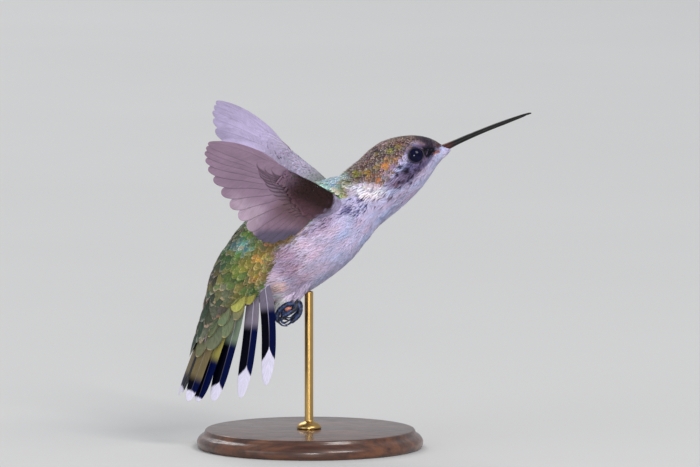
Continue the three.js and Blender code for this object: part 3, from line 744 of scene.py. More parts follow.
# Marks in the side view, laid one over the other: centre, radii, turn, middle and rim colours, strength.
MARKS = (
    # upper side
    ("crown front", (21.3, 56.7), (2.22, 1.30), -25, (28, 17, 43), (64, 48, 82), 0.92),
    ("crown", (17.4, 57.1), (2.78, 1.11), 0, (70, 54, 46), (150, 130, 120), 0.8),
    ("round the eye", (19.6, 54.4), (1.95, 1.80), 0, (58, 46, 74), (108, 96, 134), 0.95),
    ("brow behind", (18.3, 55.9), (1.11, 0.48), 30, (116, 94, 108), (162, 140, 158), 0.85),
    ("brow", (19.9, 56.4), (1.40, 0.55), -4, (132, 110, 126), (174, 152, 170), 0.9),
    ("crown green", (14.8, 55.2), (0.67, 0.48), 0, (136, 134, 56), (174, 170, 98), 0.8),
    ("crown gold", (16.3, 56.0), (0.59, 0.41), 0, (130, 116, 56), (176, 156, 104), 0.8),
    ("orange spot 1", (14.1, 53.7), (0.59, 0.48), 0, (176, 122, 50), (204, 164, 104), 0.8),
    ("orange spot 2", (14.1, 52.6), (0.80, 0.62), 0, (188, 130, 44), (212, 170, 96), 0.85),
    ("orange spot 3", (15.6, 53.8), (0.59, 0.44), 0, (176, 126, 60), (204, 164, 106), 0.8),
    ("orange spot 4", (12.4, 52.4), (0.52, 0.44), 0, (160, 138, 58), (196, 176, 104), 0.9),
    ("orange spot 5", (12.5, 49.5), (0.52, 0.48), 0, (180, 120, 66), (212, 164, 122), 0.85),
    ("nape pink", (11.3, 54.9), (0.93, 0.56), 45, (92, 72, 72), (196, 164, 168), 0.8),
    ("nape dark", (12.4, 55.6), (0.74, 0.56), 0, (50, 38, 36), (118, 98, 94), 0.85),
    ("nape green", (8.7, 51.0), (0.85, 0.59), 0, (124, 132, 50), (180, 176, 100), 0.95),
    ("nape gold", (10.6, 51.1), (0.74, 0.56), -30, (150, 116, 52), (190, 160, 100), 0.85),
    ("cap end", (7.6, 51.5), (0.56, 0.74), 0, (66, 56, 48), (140, 124, 110), 0.8),
    # Painted sheen: the pale teal, mint, green and yellow patches on the green back stand in for its sheen.
    ("back teal sheen", (4.3, 49.5), (3.15, 1.48), 15, (128, 156, 170), (198, 214, 226), 0.95),
    ("back mint sheen", (2.0, 48.5), (1.48, 0.93), 20, (140, 176, 168), (212, 226, 220), 0.9),
    ("back green sheen", (6.7, 49.1), (1.30, 0.93), 0, (150, 174, 150), (214, 222, 206), 0.9),
    ("back yellow sheen", (5.2, 47.6), (1.85, 0.48), -28, (180, 188, 156), (222, 224, 206), 0.9),
    ("shoulder gold", (6.3, 46.9), (0.63, 0.43), 0, (158, 146, 88), (206, 200, 150), 0.9),
    ("shoulder brown", (7.4, 47.5), (0.56, 0.37), 0, (140, 84, 56), (190, 140, 110), 0.9),
    ("rump bright green", (-12.4, 41.3), (1.48, 2.22), 20, (74, 136, 62), (130, 170, 100), 0.9),
    # rump emerald and rump teal: the rump's green, painted paler and bluer as a painted highlight of its
    # sheen.
    ("rump emerald", (-12.2, 37.6), (1.67, 1.48), 0, (94, 148, 146), (156, 192, 184), 0.92),
    ("rump teal", (-14.2, 37.6), (0.93, 0.93), 0, (84, 146, 156), (156, 190, 192), 0.9),
    ("rump green", (-14.4, 32.3), (1.48, 2.22), -10, (88, 118, 56), (140, 152, 92), 0.9),
    ("rump olive", (-11.7, 33.8), (1.30, 2.41), 0, (116, 112, 54), (164, 154, 96), 0.9),
    ("rump gold", (-9.4, 33.8), (1.48, 3.15), -8, (166, 134, 64), (204, 178, 114), 0.92),
    ("rump gold bright", (-9.8, 32.0), (0.93, 1.11), 0, (176, 146, 50), (210, 186, 104), 0.8),
    ("rump brown", (-11.1, 31.2), (0.93, 0.74), 0, (120, 96, 60), (170, 146, 104), 0.8),
    ("covert olive", (-13.0, 29.2), (1.67, 1.48), 0, (134, 130, 70), (182, 168, 110), 0.85),
    ("covert yellow", (-13.4, 26.4), (1.20, 1.60), -10, (172, 170, 84), (196, 188, 124), 0.9),
    ("covert yellow spot", (-11.1, 27.9), (0.48, 0.81), -10, (180, 176, 82), (204, 198, 124), 0.85),
    ("covert grey", (-17.6, 26.0), (1.48, 1.85), 0, (76, 82, 74), (150, 132, 108), 0.85),
    ("covert green grey", (-16.9, 22.7), (1.67, 2.22), -15, (108, 118, 88), (182, 164, 116), 0.85),
    # face
    ("chin", (24.3, 54.1), (1.30, 0.74), 48, (188, 182, 216), (220, 216, 242), 0.9),
    ("malar", (22.2, 52.1), (3.33, 0.78), 52, (176, 168, 212), (218, 214, 244), 0.9),
    ("throat", (18.9, 48.0), (2.41, 0.93), 50, (160, 150, 188), (212, 206, 238), 0.8),
    ("throat edge", (17.6, 45.6), (1.67, 0.56), 48, (140, 130, 166), (206, 200, 232), 0.8),
    ("ear dark", (18.6, 51.4), (2.60, 1.45), 52, (60, 50, 86), (106, 96, 144), 0.92),
    ("ear lower", (16.4, 49.7), (2.30, 1.15), 35, (82, 66, 94), (142, 126, 164), 0.85),
    ("ear pink", (15.3, 52.1), (0.93, 0.63), 50, (138, 116, 146), (180, 160, 190), 0.9),
    ("ear pale", (14.1, 50.6), (0.93, 0.63), 40, (160, 148, 176), (204, 194, 218), 0.85),
    ("ear fleck 1", (17.9, 51.4), (0.75, 0.55), 30, (12, 9, 24), (30, 24, 44), 1.0),
    ("ear fleck 2", (19.9, 51.7), (0.65, 0.40), 20, (16, 12, 30), (36, 30, 52), 1.0),
    ("ear fleck 3", (16.6, 52.4), (0.60, 0.42), 40, (22, 16, 34), (42, 34, 56), 0.95),
    ("ear fleck 4", (18.6, 50.4), (0.60, 0.42), 30, (24, 18, 38), (48, 40, 62), 0.95),
    ("ear fleck 5", (16.2, 51.0), (0.55, 0.42), 20, (34, 26, 46), (60, 50, 74), 0.9),
    ("ear fleck 6", (17.2, 49.3), (0.55, 0.36), 40, (48, 38, 58), (82, 70, 94), 0.9),
    ("ear fleck 7", (15.9, 48.8), (0.60, 0.38), 20, (78, 48, 60), (118, 86, 98), 0.9),
    ("ear fleck 8", (14.6, 49.7), (0.50, 0.38), 30, (92, 70, 88), (134, 112, 132), 0.85),
    ("under the eye", (20.6, 52.6), (1.35, 0.62), 48, (52, 44, 70), (102, 92, 132), 0.9),
    ("below the lores", (22.0, 53.9), (1.25, 0.52), 46, (60, 50, 82), (110, 102, 142), 0.9),
    ("lores", (21.9, 55.1), (1.60, 0.88), 16, (3, 1, 14), (9, 5, 26), 1.0),
    ("gape", (23.5, 55.0), (0.80, 0.26), 30, (146, 74, 54), (176, 108, 86), 0.95),
    ("bill root", (23.9, 56.2), (0.44, 0.63), -40, (70, 22, 26), (90, 40, 44), 0.9),
    ("behind the eye", (17.1, 53.8), (1.35, 0.40), 55, (180, 172, 214), (208, 202, 238), 1.0),
    # neck and under side
    ("neck white", (10.6, 47.7), (3.52, 1.50), -6, (228, 224, 244), (246, 244, 253), 0.97),
    ("neck pink", (7.6, 47.4), (1.10, 0.80), 0, (146, 128, 150), (182, 166, 184), 0.85),
    ("neck spot", (14.8, 46.4), (0.48, 0.44), 0, (86, 62, 80), (130, 108, 128), 0.95),
    ("neck side", (16.3, 46.9), (1.11, 0.74), 0, (150, 140, 174), (204, 196, 226), 0.7),
    ("streak blue", (9.2, 46.3), (1.10, 0.30), -25, (38, 36, 68), (82, 78, 118), 1.0),
    ("shoulder streaks", (6.7, 44.1), (0.95, 0.80), 20, (46, 46, 86), (134, 132, 178), 0.95),
    ("shoulder streaks low", (8.5, 42.2), (0.83, 0.93), 35, (124, 120, 156), (186, 182, 218), 0.8),
    ("side streaks", (3.9, 42.6), (2.22, 0.93), 30, (138, 124, 158), (184, 172, 206), 0.75),
    ("side shade", (1.1, 40.7), (3.33, 1.11), 24, (146, 130, 162), (186, 170, 204), 0.8),
    ("flank mauve", (-4.6, 34.6), (2.59, 2.96), 0, (146, 120, 148), (176, 150, 178), 0.85),
    ("flank mauve low", (-2.6, 31.2), (2.22, 1.67), 0, (148, 128, 158), (180, 160, 188), 0.7),
    ("flank gold", (-4.9, 39.0), (2.78, 1.02), 22, (98, 74, 40), (150, 122, 82), 0.97),
    ("flank gold low", (-7.8, 37.4), (1.48, 0.93), 20, (128, 98, 58), (172, 140, 98), 0.9),
    ("flank edge", (-7.9, 33.9), (3.90, 0.85), 71, (140, 112, 66), (182, 154, 106), 0.85),
    ("flank buff", (-6.1, 29.7), (1.75, 0.85), 12, (234, 172, 168), (240, 200, 194), 0.92),
    ("breast light", (7.8, 37.6), (4.81, 1.30), 45, (190, 184, 224), (212, 208, 242), 0.8),
    # vent: a pale vent, painted lighter still as painted light against the shade under the body.
    ("vent", (-5.6, 27.5), (2.41, 1.30), 10, (240, 226, 244), (246, 238, 250), 0.95),
)


def recolour(looks, share, mid, rim):
    """Middle and rim colours turned towards others, by a share for each feather."""
    looks["mid"] = blend(looks["mid"], srgb(*mid), share[:, None])
    looks["rim"] = blend(looks["rim"], srgb(*rim), share[:, None])


def side_height(places):
    """How high places stand in the side view."""
    return places[:, 2] - SIDE_SLANT * np.abs(places[:, 1])


def markings(points, normals, shift=0.0):
    """The coat's colours at places on the body: middle and rim of a feather, rim width and metal gloss.

    shift is how much lower than drawn the edge of the upper side is.
    """
    x, y = points[:, 0], points[:, 1]
    z = side_height(points)
    upper = smooth_step(z - np.interp(x, *UPPER_SIDE.T) + shift, -0.2, 0.2)
    # Below: white with a lavender cast in front, pinker towards the vent.
    looks = {"mid": srgb(174, 171, 213), "rim": srgb(202, 199, 233)}
    recolour(looks, smooth_step(-x, -9, 7), (192, 168, 194), (210, 192, 213))
    # Above: brown cap, green back, olive tail coverts with pale edges.
    coverts = smooth_step(-x + (35 - z) * 0.6, 15.5, 21)
    above = {"mid": srgb(80, 108, 62), "rim": srgb(138, 148, 104)}
    recolour(above, smooth_step(x, 6.2, 8.2), (88, 70, 70), (192, 172, 170))
    recolour(above, coverts, (104, 108, 84), (178, 160, 122))
    looks = {key: blend(looks[key], above[key], upper[:, None]) for key in looks}
    for _, centre, radii, turn, mark, mark_rim, strength in MARKS:
        recolour(looks, strength * patch_weight(x, z, centre, radii, turn), mark, mark_rim)
    # Painted sheen: the middle of the lower back, facing backwards, is greyer with paler edges, as if lit at a
    # low angle.
    ridge = (1 - smooth_step(np.abs(y), 2.6, 4.6)) * smooth_step(-normals[:, 0], 0.3, 0.7)
    ridge = ridge * (1 - smooth_step(x, -9, -5)) * smooth_step(-x, 9, 11) * 0.8
    recolour(looks, ridge, (58, 62, 58), (158, 146, 138))
    return {**looks, "rim_width": blend(0.40, 0.20, upper), "metal": 0.25 * upper * (1 - 0.6 * coverts),
            "upper": upper}


def vary(looks, light, hue):
    """Each feather a little lighter or darker and warmer or cooler than its neighbours."""
    count = len(looks["mid"])
    shade = np.exp(rng.normal(0, 1, count) * light)[:, None]
    tint = np.exp(rng.normal(0, hue, (count, 3)) * looks["upper"][:, None])
    for key in ("mid", "rim"):
        looks[key] = np.clip(looks[key] * shade * tint, 0, 1)
    return looks


# ---------------------------------------------------------------- the coat of the body
# Along the body in millimetres from the bill: length, width, spacing and depth of feathers above and below.
COAT_ABOVE = np.array([
    (-1.6, 0.35, 0.22, 0.14, 0.05), (0.0, 0.50, 0.34, 0.18, 0.08), (3.0, 0.75, 0.50, 0.25, 0.14),
    (7.0, 1.05, 0.72, 0.34, 0.20), (14.0, 1.5, 0.95, 0.43, 0.26), (18.0, 1.5, 0.95, 0.42, 0.30),
    (30.0, 1.9, 1.20, 0.52, 0.36), (40.0, 2.4, 1.50, 0.66, 0.40), (46.0, 3.3, 2.3, 1.02, 0.40),
    (52.0, 4.6, 3.3, 1.55, 0.35), (62.0, 5.2, 3.6, 1.9, 0.3)])
COAT_BELOW = np.array([
    (-1.6, 0.40, 0.14, 0.12, 0.04), (0.0, 0.60, 0.17, 0.14, 0.08), (3.0, 0.90, 0.20, 0.16, 0.12),
    (7.0, 1.1, 0.24, 0.18, 0.16), (14.0, 1.4, 0.30, 0.215, 0.22), (20.0, 1.6, 0.36, 0.25, 0.28),
    (30.0, 1.9, 0.42, 0.27, 0.30), (42.0, 2.2, 0.46, 0.29, 0.30), (50.0, 2.6, 0.50, 0.33, 0.30),
    (62.0, 3.0, 0.60, 0.50, 0.3)])
COAT_ENDS = 57.5  # no feather is rooted further back


def coat_sizes(surface, p, upper):
    """Length, width, spacing and depth of the feathers at rows of the body."""
    reach = body_reach(surface, p)
    above, below = (np.stack([np.interp(reach, table[:, 0], table[:, k]) for k in range(1, 5)])
                    for table in (COAT_ABOVE, COAT_BELOW))
    return blend(below, above, upper)


def coat_grid(surface):
    """Length, width, spacing and depth of the feathers at each point of the body's surface."""
    rows = np.repeat(np.arange(surface.rows), surface.columns)
    upper = markings(surface.points.reshape(-1, 3), surface.normals.reshape(-1, 3))["upper"]
    return coat_sizes(surface, rows, upper).reshape(4, surface.rows, surface.columns)


def eye_places():
    """The middle of each eye's solid."""
    places = []
    for _, label in SIDES:
        low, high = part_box(f"eye_{label}")
        places.append(np.array((low + high) / 2) / MM)
    return places


def eye_frames():
    """For each eye: its middle, its radius, how far out the lids lie, and the ways ahead, up and out."""
    frames = []
    for side, label in SIDES:
        low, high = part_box(f"eye_{label}")
        radius = (high - low)[2] / MM / 2
        seat = EYE_FLATNESS * math.sqrt(radius ** 2 - EYE_OPENING ** 2)
        level = math.cos(EYE_LIFT)
        out = np.array([level * math.sin(EYE_TURN), side * level * math.cos(EYE_TURN), math.sin(EYE_LIFT)])
        ahead = unit(BILL_AXIS - out * out.dot(BILL_AXIS))
        middle = EYE_MIDDLE * (1, side, 1) - out * seat
        frames.append((middle, radius, seat, ahead, np.cross(out, ahead), out))
    return frames


def settle_round_eyes(points):
    """The face levelled round each eye, so that the lids lie in it and the brow stands over them."""
    for middle, _, seat, _, _, out in eye_frames():
        offset = points - (middle + out * seat)
        height = offset @ out
        reach = np.linalg.norm(offset - height[..., None] * out, axis=-1)
        share = (1 - smooth_step(reach, EYE_RIM, EYE_FACE)) * (np.abs(height) < EYE_FACE)
        points = points - (share * (height + 0.05))[..., None] * out
    return points


def seen_from(surface, p, q, place):
    """Where a place is from spots of the surface: how far along its rows, how far across, and how far off."""
    roots, normals = surface.at(p, q)
    offset = place - roots
    down = unit(square_to(surface.at(p + 0.5, q)[0] - roots, normals))
    across = unit(square_to(square_to(surface.at(p, q + 0.5)[0] - roots, normals), down))
    return dots(offset, down), dots(offset, across), np.linalg.norm(offset, axis=1)


EYE_REACH = 6  # no feather rooted further from an eye is turned by it
NO_LIMIT = 99  # longer than any feather


def part_round_eyes(surface, p, q, length, turn):
    """Feathers bend round the eyes and end at the lids. The third answer is which of them have room."""
    keep = np.ones(len(p), bool)
    lid = EYE_OPENING + LID_WIDTH * 0.5
    for middle, _, seat, _, _, out in eye_frames():
        ahead, sideways, distance = seen_from(surface, p, q, middle + out * seat)
        near = distance < EYE_REACH
        reach = np.hypot(ahead, sideways)
        bend = (1 - smooth_step(reach, lid, lid + 2.6)) * (0.35 + 0.75 * np.tanh(ahead))
        turn = np.where(near, turn + np.sign(sideways) * bend, turn)
        towards = ahead * np.cos(turn) - sideways * np.sin(turn)
        inside = towards ** 2 - reach ** 2 + lid ** 2
        meets = near & (towards > 0) & (inside > 0)
        room = np.where(meets, towards - np.sqrt(np.maximum(inside, 0)) + 0.06, NO_LIMIT)
        length = np.minimum(length, room)
        keep &= ~(near & ((room < 0.22) | (reach < EYE_OPENING + 0.1)))
    return length, turn, keep


# Colours that single feathers of the cap and of the green back lean towards.
CAP_MOSAIC = ((58, 42, 46), (88, 68, 72), (136, 112, 124), (130, 114, 76), (150, 116, 72), (104, 92, 76))
BACK_MOSAIC = ((60, 112, 78), (86, 118, 56), (116, 124, 58), (70, 82, 56), (140, 124, 62), (92, 96, 80))


# Where single dark feathers lie among the pale ones: centre, radii and turn in the side view, the share of
# the feathers, and their middle and rim colours.
STREAKS = (
    ((8.3, 44.7), (2.3, 1.7), 20, 0.42, (40, 38, 78), (92, 90, 138)),
    ((1.0, 41.0), (3.3, 1.2), 25, 0.32, (72, 62, 88), (126, 114, 144)),
    ((-3.4, 35.0), (3.2, 3.0), 0, 0.16, (104, 84, 96), (150, 130, 146)),
    ((17.9, 51.0), (3.2, 1.8), 50, 0.30, (20, 14, 36), (52, 44, 70)),
    ((13.2, 46.8), (2.6, 1.4), 45, 0.14, (88, 74, 100), (136, 122, 152)),
)


HEAD_ENDS = 17  # how far from the bill the crown and face end, and back and breast begin


def coat_colours(roots, shown, normals, shift, reach):
    """The colours of the body's feathers, with each one's own leaning, flecks and streaks."""
    count = len(roots)
    looks = markings(shown, normals, shift)
    upper = looks["upper"]
    on_cap = (roots[:, 0] > 6.5) * (1 - 0.7 * smooth_step(roots[:, 0], 18.8, 20.4))
    on_back = (roots[:, 0] < 3) * (1 - 0.8 * smooth_step(reach, 46, 53))
    for colours, chosen, strength in ((CAP_MOSAIC, on_cap, 0.45), (BACK_MOSAIC, on_back, 0.40)):
        pick = np.array([srgb(*colour) for colour in colours])[rng.integers(0, len(colours), count)]
        share = strength * chosen * upper * rng.uniform(0.2, 1.2, count)
        looks["mid"] = blend(looks["mid"], pick, share[:, None])
    # Brown flecks lead over from the flank's gold to its down.
    side_z = side_height(shown)
    below_edge = np.interp(shown[:, 0], *UPPER_SIDE.T) - side_z
    fleck = rng.uniform(0, 1, count) < 0.75 * (1 - smooth_step(below_edge, -0.5, 3.0))
    fleck = fleck * (1 - upper) * (1 - smooth_step(shown[:, 0], -2, 4))
    recolour(looks, fleck * rng.uniform(0.4, 0.9, count), (112, 86, 62), (160, 134, 110))
    # Dusky flecks on the throat and the side of the neck.
    dusky = (rng.uniform(0, 1, count) < 0.16) * (1 - upper) * smooth_step(shown[:, 0], 10, 14) * 0.55
    dusky = dusky * (1 - smooth_step(np.abs(normals[:, 2] + 0.2), 0.5, 0.8))
    recolour(looks, dusky, (92, 80, 112), (140, 128, 164))
    for centre, radii, angle, share, dark, dark_rim in STREAKS:
        chance = share * patch_weight(shown[:, 0], side_z, centre, radii, angle)
        streak = (rng.uniform(0, 1, count) < chance) * (1 - upper)
        recolour(looks, streak * rng.uniform(0.6, 1.0, count), dark, dark_rim)
    cloud = (0.07 * ripple(roots, 5.0) + 0.09 * ripple(roots, 1.6))[:, None]
    warm = (1 + 0.08 * ripple(roots, 3.5)[:, None] * np.array([1.0, -0.3, -0.6])) * np.exp(cloud)
    for key in ("mid", "rim"):
        looks[key] = looks[key] * warm
    return vary(looks, 0.05 + 0.13 * upper, 0.08)


def make_coat(surface, scales, wisps):
    spacing = coat_grid(surface)[2]
    spacing[body_reach(surface, np.arange(surface.rows)) > COAT_ENDS] = 0
    p, q = scatter(surface, spacing)
    roots, normals = surface.at(p, q)
    # The edge of the upper side is sharp at the head and loose at the flank.
    loose = 0.12 + 0.55 * smooth_step(-roots[:, 0], -6, 4)
    shift = (ripple(roots, 2.0) + rng.normal(0, 0.6, len(p))) * loose
    # A feather takes its colours from the place of the part of it that shows.
    length = coat_sizes(surface, p, markings(roots, normals, shift)["upper"])[0]
    shown, normals = surface.at(p + 0.6 * length / surface.sample(surface.row_step, p, q), q)
    upper = markings(shown, normals, shift)["upper"]
    length, width, _, deep = coat_sizes(surface, p, upper)
    reach = body_reach(surface, p)
    turn = rng.normal(0, 1, len(p)) * (0.08 + 0.06 * (1 - upper))
    turn = turn + ripple(roots, 4.0) * (0.05 + 0.06 * (1 - upper))
    length = length * np.exp(rng.normal(0, 0.10, len(p)))
    length, turn, keep = part_round_eyes(surface, p, q, length, turn)
    width = np.minimum(width * np.exp(rng.normal(0, 0.10, len(p))), length)
    deep = np.minimum(deep, length * 0.3)
    cap_end = upper * smooth_step(roots[:, 0], 6.6, 7.4) * (1 - smooth_step(roots[:, 0], 8.6, 10.0))
    rise = rng.uniform(0.0, 0.03 + 0.03 * upper) * np.minimum(length, 2) + 0.30 * cap_end
    looks = coat_colours(roots, shown, normals, shift, reach)
    above = upper > 0.5
    head = reach < HEAD_ENDS
    groups = (
        ("crown", above & head, Vane(5, 5, 0.45, 0.50, 0.04, 0.25), 1, scales, SOFT_SCALES),
        ("face", ~above & head, Vane(5, 3, 0.5, 0.50, 0.0, 0.5), 2, wisps, SOFT_WISPS),
        ("back", above & ~head, Vane(6, 7, 0.4, 0.55, 0.05, 0.30), 2, scales, SOFT_SCALES),
        ("breast", ~above & ~head, Vane(6, 5, 0.5, 0.45, 0.30, 0.45), 4, wisps, SOFT_WISPS),
    )
    for name, chosen, vane, parts, material, soft in groups:
        for number, part in enumerate(np.array_split(np.flatnonzero(chosen & keep), parts)):
            sizes = [values[part] for values in (length, width, turn, deep, rise)]
            some = {key: values[part] for key, values in looks.items()}
            coat_piece(f"coat_{name}_{number}", surface, vane, p[part], q[part], sizes, some, material, soft)


# The long down of the vent and the under side of the tail's root: x, z, half width, half depth.
VENT = np.array([(-2.2, 30.4, 3.6, 2.3), (-3.9, 28.6, 3.4, 2.0), (-5.2, 26.9, 2.8, 1.6),
                 (-6.3, 25.2, 1.9, 1.1), (-7.1, 23.8, 0.9, 0.6)])
VENT_SPACING = 0.30
DOWN_SHAPE = (6, 5, 0.5, 0.45, 0.34, 0.5)  # of the vanes of the vent and thighs


def make_vent(wisps):
    line = curve_through(VENT, 24)
    axis = unit(line[-1, :2] - line[0, :2])
    other = np.array([axis[1], 0, -axis[0]])
    ring = full_turn(40)[:, None]
    rings = [np.array([x, 0, z]) + LEFTWARDS * np.cos(ring) * half + other * np.sin(ring) * deep
             for x, z, half, deep in line]
    surface = Surface(np.array(rings), True)
    spacing = np.full((surface.rows, surface.columns), VENT_SPACING)
    spacing[-6:] = 0
    p, q = scatter(surface, spacing)
    count = len(p)
    roots, normals = surface.at(p, q)
    looks = vary(markings(roots, normals, -9.0), 0.07, 0.0)
    # Painted light: the vent's colours are made lighter, up to 0.9, against the shade it lies in under the
    # body.
    for key in ("mid", "rim"):
        looks[key] = np.minimum(looks[key] * 1.4, 0.9)
    length, width = rng.uniform(2.0, 3.6, count), rng.uniform(0.35, 0.55, count)
    turn = rng.normal(0, 0.16, count) + 0.12 * ripple(roots, 3.0)
    sizes = [length, width, turn, np.full(count, 0.5), rng.uniform(0, 0.12, count)]
    coat_piece("coat_vent", surface, Vane(*DOWN_SHAPE), p, q, sizes, looks, wisps, SOFT_WISPS)


# ---------------------------------------------------------------- skin
SKIN_VOXEL = 0.28
ARM_INSET = 0.3  # how deep the skin lies under the feathers of the arms
THIGH_INSET = 0.35


def make_skin(surface, material):
    """One skin under the coat, over body, arms and thighs."""
    deep = coat_grid(surface)[3][..., None]
    solids = [tube_with_ends((surface.points - surface.normals * deep)[:BILL_ROWS + BODY_ROWS])]
    for side, _ in SIDES:
        solids.append(tube_with_ends(arm_rings(side, ARM_INSET)))
        solids.append(tube_with_ends(thigh_rings(side, THIGH_INSET)))
    skin = new_piece("skin", *join(solids), material, "plumage", FLESH + LIMBS)
    remesh = skin.modifiers.new("remesh", "REMESH")
    remesh.mode = "VOXEL"
    remesh.voxel_size = SKIN_VOXEL * MM
    relax = skin.modifiers.new("relax", "SMOOTH")
    relax.factor = 0.5
    relax.iterations = 4
    made = bpy.data.meshes.new_from_object(skin.evaluated_get(bpy.context.evaluated_depsgraph_get()))
    skin.modifiers.clear()
    skin.data = made
    made.polygons.foreach_set("use_smooth", np.full(len(made.polygons), True))
    looks = markings(read_points(made, "co") / MM, read_points(made, "normal"))
    none = np.zeros(len(made.vertices))
    add_attributes(made, {key: np.column_stack([looks[key], none]) for key in ("mid", "rim")})


def paint_skin():
    paint = Paint("skin", 0.8)
    mottle = paint.noise(paint.place(), 900.0, 3.0)
    rim_part = paint.fade(mottle, 0.35, 0.65, 0.0, 0.5)
    colour = paint.mix(rim_part, paint.attribute("mid"), paint.attribute("rim"))
    # Painted shade: the skin is a little darker than the coat's colours, where it shows between feathers.
    paint.set("Base Color", paint.mix(1.0, colour, (0.85, 0.85, 0.85), "MULTIPLY"))
    paint.bump(mottle, 0.6, 0.0002)
    return paint.material


THIGH_TOP = np.array([-0.6, 2.9, 31.5])
THIGH_END = np.array([-2.5, 2.9, 28.1])
THIGH_RADII = (1.5, 0.75)
THIGH_SPACING = 0.26


def thigh_rings(side, inset):
    """Rings of the feathered thigh, inset under its coat."""
    ring = full_turn(20)[:, None]
    other = np.cross(unit(THIGH_END - THIGH_TOP), LEFTWARDS)
    circle = LEFTWARDS * np.cos(ring) + other * np.sin(ring)
    rings = []
    for t in np.linspace(0, 1, 8):
        radius = part_way(THIGH_RADII, t) - inset
        rings.append((part_way((THIGH_TOP, THIGH_END), t) + circle * radius) * np.array([1, side, 1]))
    return np.array(rings)


def make_thigh_down(wisps):
    for side, label in SIDES:
        surface = Surface(thigh_rings(side, 0.0), True)
        spacing = np.full((surface.rows, surface.columns), THIGH_SPACING)
        spacing[-1:] = 0
        p, q = scatter(surface, spacing)
        count = len(p)
        looks = vary(markings(*surface.at(p, q), -9.0), 0.07, 0.0)
        sizes = [rng.uniform(1.1, 1.7, count), rng.uniform(0.28, 0.4, count), rng.normal(0, 0.14, count),
                 np.full(count, 0.3), rng.uniform(0, 0.08, count)]
        name = f"coat_thigh_{label}"
        coat_piece(name, surface, Vane(*DOWN_SHAPE), p, q, sizes, looks, wisps, SOFT_WISPS)


# ---------------------------------------------------------------- the wings
def wing_place(side, a, b, height):
    """The point at a span and chord on a wing, at a height towards its back."""
    shoulder, span, chord, back = wing_axes(side)
    camber = WING_CAMBER * np.sin(math.pi * np.clip((b + 2) / WING_CAMBER_CHORD, 0, 1))
    droop = WING_TIP_DROOP * (np.maximum(a, 0) / WING_LENGTH) ** 2
    up = np.asarray(height + camber - droop)[..., None]
    return shoulder + span * np.asarray(a)[..., None] + chord * np.asarray(b)[..., None] + back * up


def arm_section(a):
    return [np.interp(a, ARM[:, 0], ARM[:, k]) for k in (1, 2, 3)]


def arm_rings(side, inset):
    """Rings of the feathered arm, inset under its coat."""
    ring = full_turn(24)
    rings = []
    for a in np.linspace(ARM[0, 0] + inset, ARM[-1, 0] - inset, 30):
        middle, half, thick = arm_section(a)
        half = max(half - inset, 0.15)
        thick = max(thick - inset, 0.15)
        rings.append(wing_place(side, np.full(24, a), middle + half * np.cos(ring), thick * np.sin(ring)))
    return np.array(rings)


BLADE_ROWS = 30
COVERT_COLUMNS = np.array([-1, -0.7, -0.3, 0, 0.3, 0.7, 1])
COVERT_TAPER = (0.55, 2.1)
SHAFT_COLUMNS = np.array([-1, -0.96, -0.82, -0.62, -0.42, -0.22, -0.07, -0.03,
                          0, 0.03, 0.07, 0.22, 0.42, 0.62, 0.82, 0.96, 1])


class Blade:
    """A flight feather: its root and tip in the plane of its wing or tail, and the shape of its vanes.

    taper is where along the feather the tip starts to round off, and how blunt it is.
    """

    def __init__(self, root, tip, bow, outer, inner, taper, tilt=0.0, lift=0.0):
        self.root, self.tip = np.array(root, float), np.array(tip, float)
        self.bow, self.outer, self.inner, self.taper = bow, outer, inner, taper
        self.tilt, self.lift = tilt, lift

    def fullness(self, t):
        start, blunt = self.taper
        quill = 0.30 + 0.70 * np.sin(np.minimum(t / 0.4, 1) * math.pi / 2)
        tip = np.clip((t - start) / (1 - start), 0, 1)
        return quill * np.sqrt(1 - tip ** blunt) + 0.004

    def between(self, other, share):
        """A feather somewhere between this one and another."""
        values = [blend(getattr(self, key), getattr(other, key), share)
                  for key in ("root", "tip", "bow", "outer", "inner")]
        return Blade(*values, self.taper, self.tilt)

    def covert(self, end):
        """The covert that lies over this feather's base, this share as long."""
        run = self.tip - self.root
        long = np.linalg.norm(run) * end
        outer, inner = min(self.outer, 0.55 + 0.07 * long), min(self.inner, 0.70 + 0.10 * long)
        root, tip = self.root - run * 0.04, self.root + run * end
        return Blade(root, tip, self.bow * end * end, outer, inner, COVERT_TAPER, self.tilt)

    def mesh(self, place, height=0.0, rows=BLADE_ROWS, thick=0.12, shaft=0.08, columns=SHAFT_COLUMNS):
        """A closed lens with a raised shaft.

        The answers are points, faces, each point's u, t and seed, and for each point 1 on the upper face,
        -1 on the lower one and 0 at the rim.
        """
        run = self.tip - self.root
        ahead = unit(run)
        across = np.array([-ahead[1], ahead[0]])
        t = 1 - (1 - np.linspace(0, 1, rows)[:, None]) ** 1.7
        u = columns[None]
        middle = self.root + run * t + across * (self.bow * 4 * t * (1 - t))
        offset = u * np.where(u < 0, self.outer, self.inner) * self.fullness(t)
        a, b = (middle[:, k, None] + across[k] * offset for k in (0, 1))
        body = thick / 2 * (1 - np.abs(u) ** 3) * (1 - 0.5 * t)
        ridge = np.exp(-(u / 0.04) ** 2) * shaft * np.maximum(1 - t * 1.05, 0)
        lie = height + self.tilt * offset + self.lift * (1 - t) ** 2
        top = place(a, b, lie + body + ridge)
        low = place(a, b, lie - body - ridge * 0.8)
        rim, faces = lens_faces(*top.shape[:2])
        top[rim] = (top[rim] + low[rim]) / 2
        where = np.stack(np.broadcast_arrays(u, t, rng.uniform() + 0 * u), -1)
        points = np.vstack([top.reshape(-1, 3), low[~rim]])
        vane_at = np.vstack([where.reshape(-1, 3), where[~rim]])
        face = np.concatenate([np.where(rim, 0.0, 1.0).ravel(), -np.ones((~rim).sum())])
        return points, outward_faces(points, faces), vane_at, face


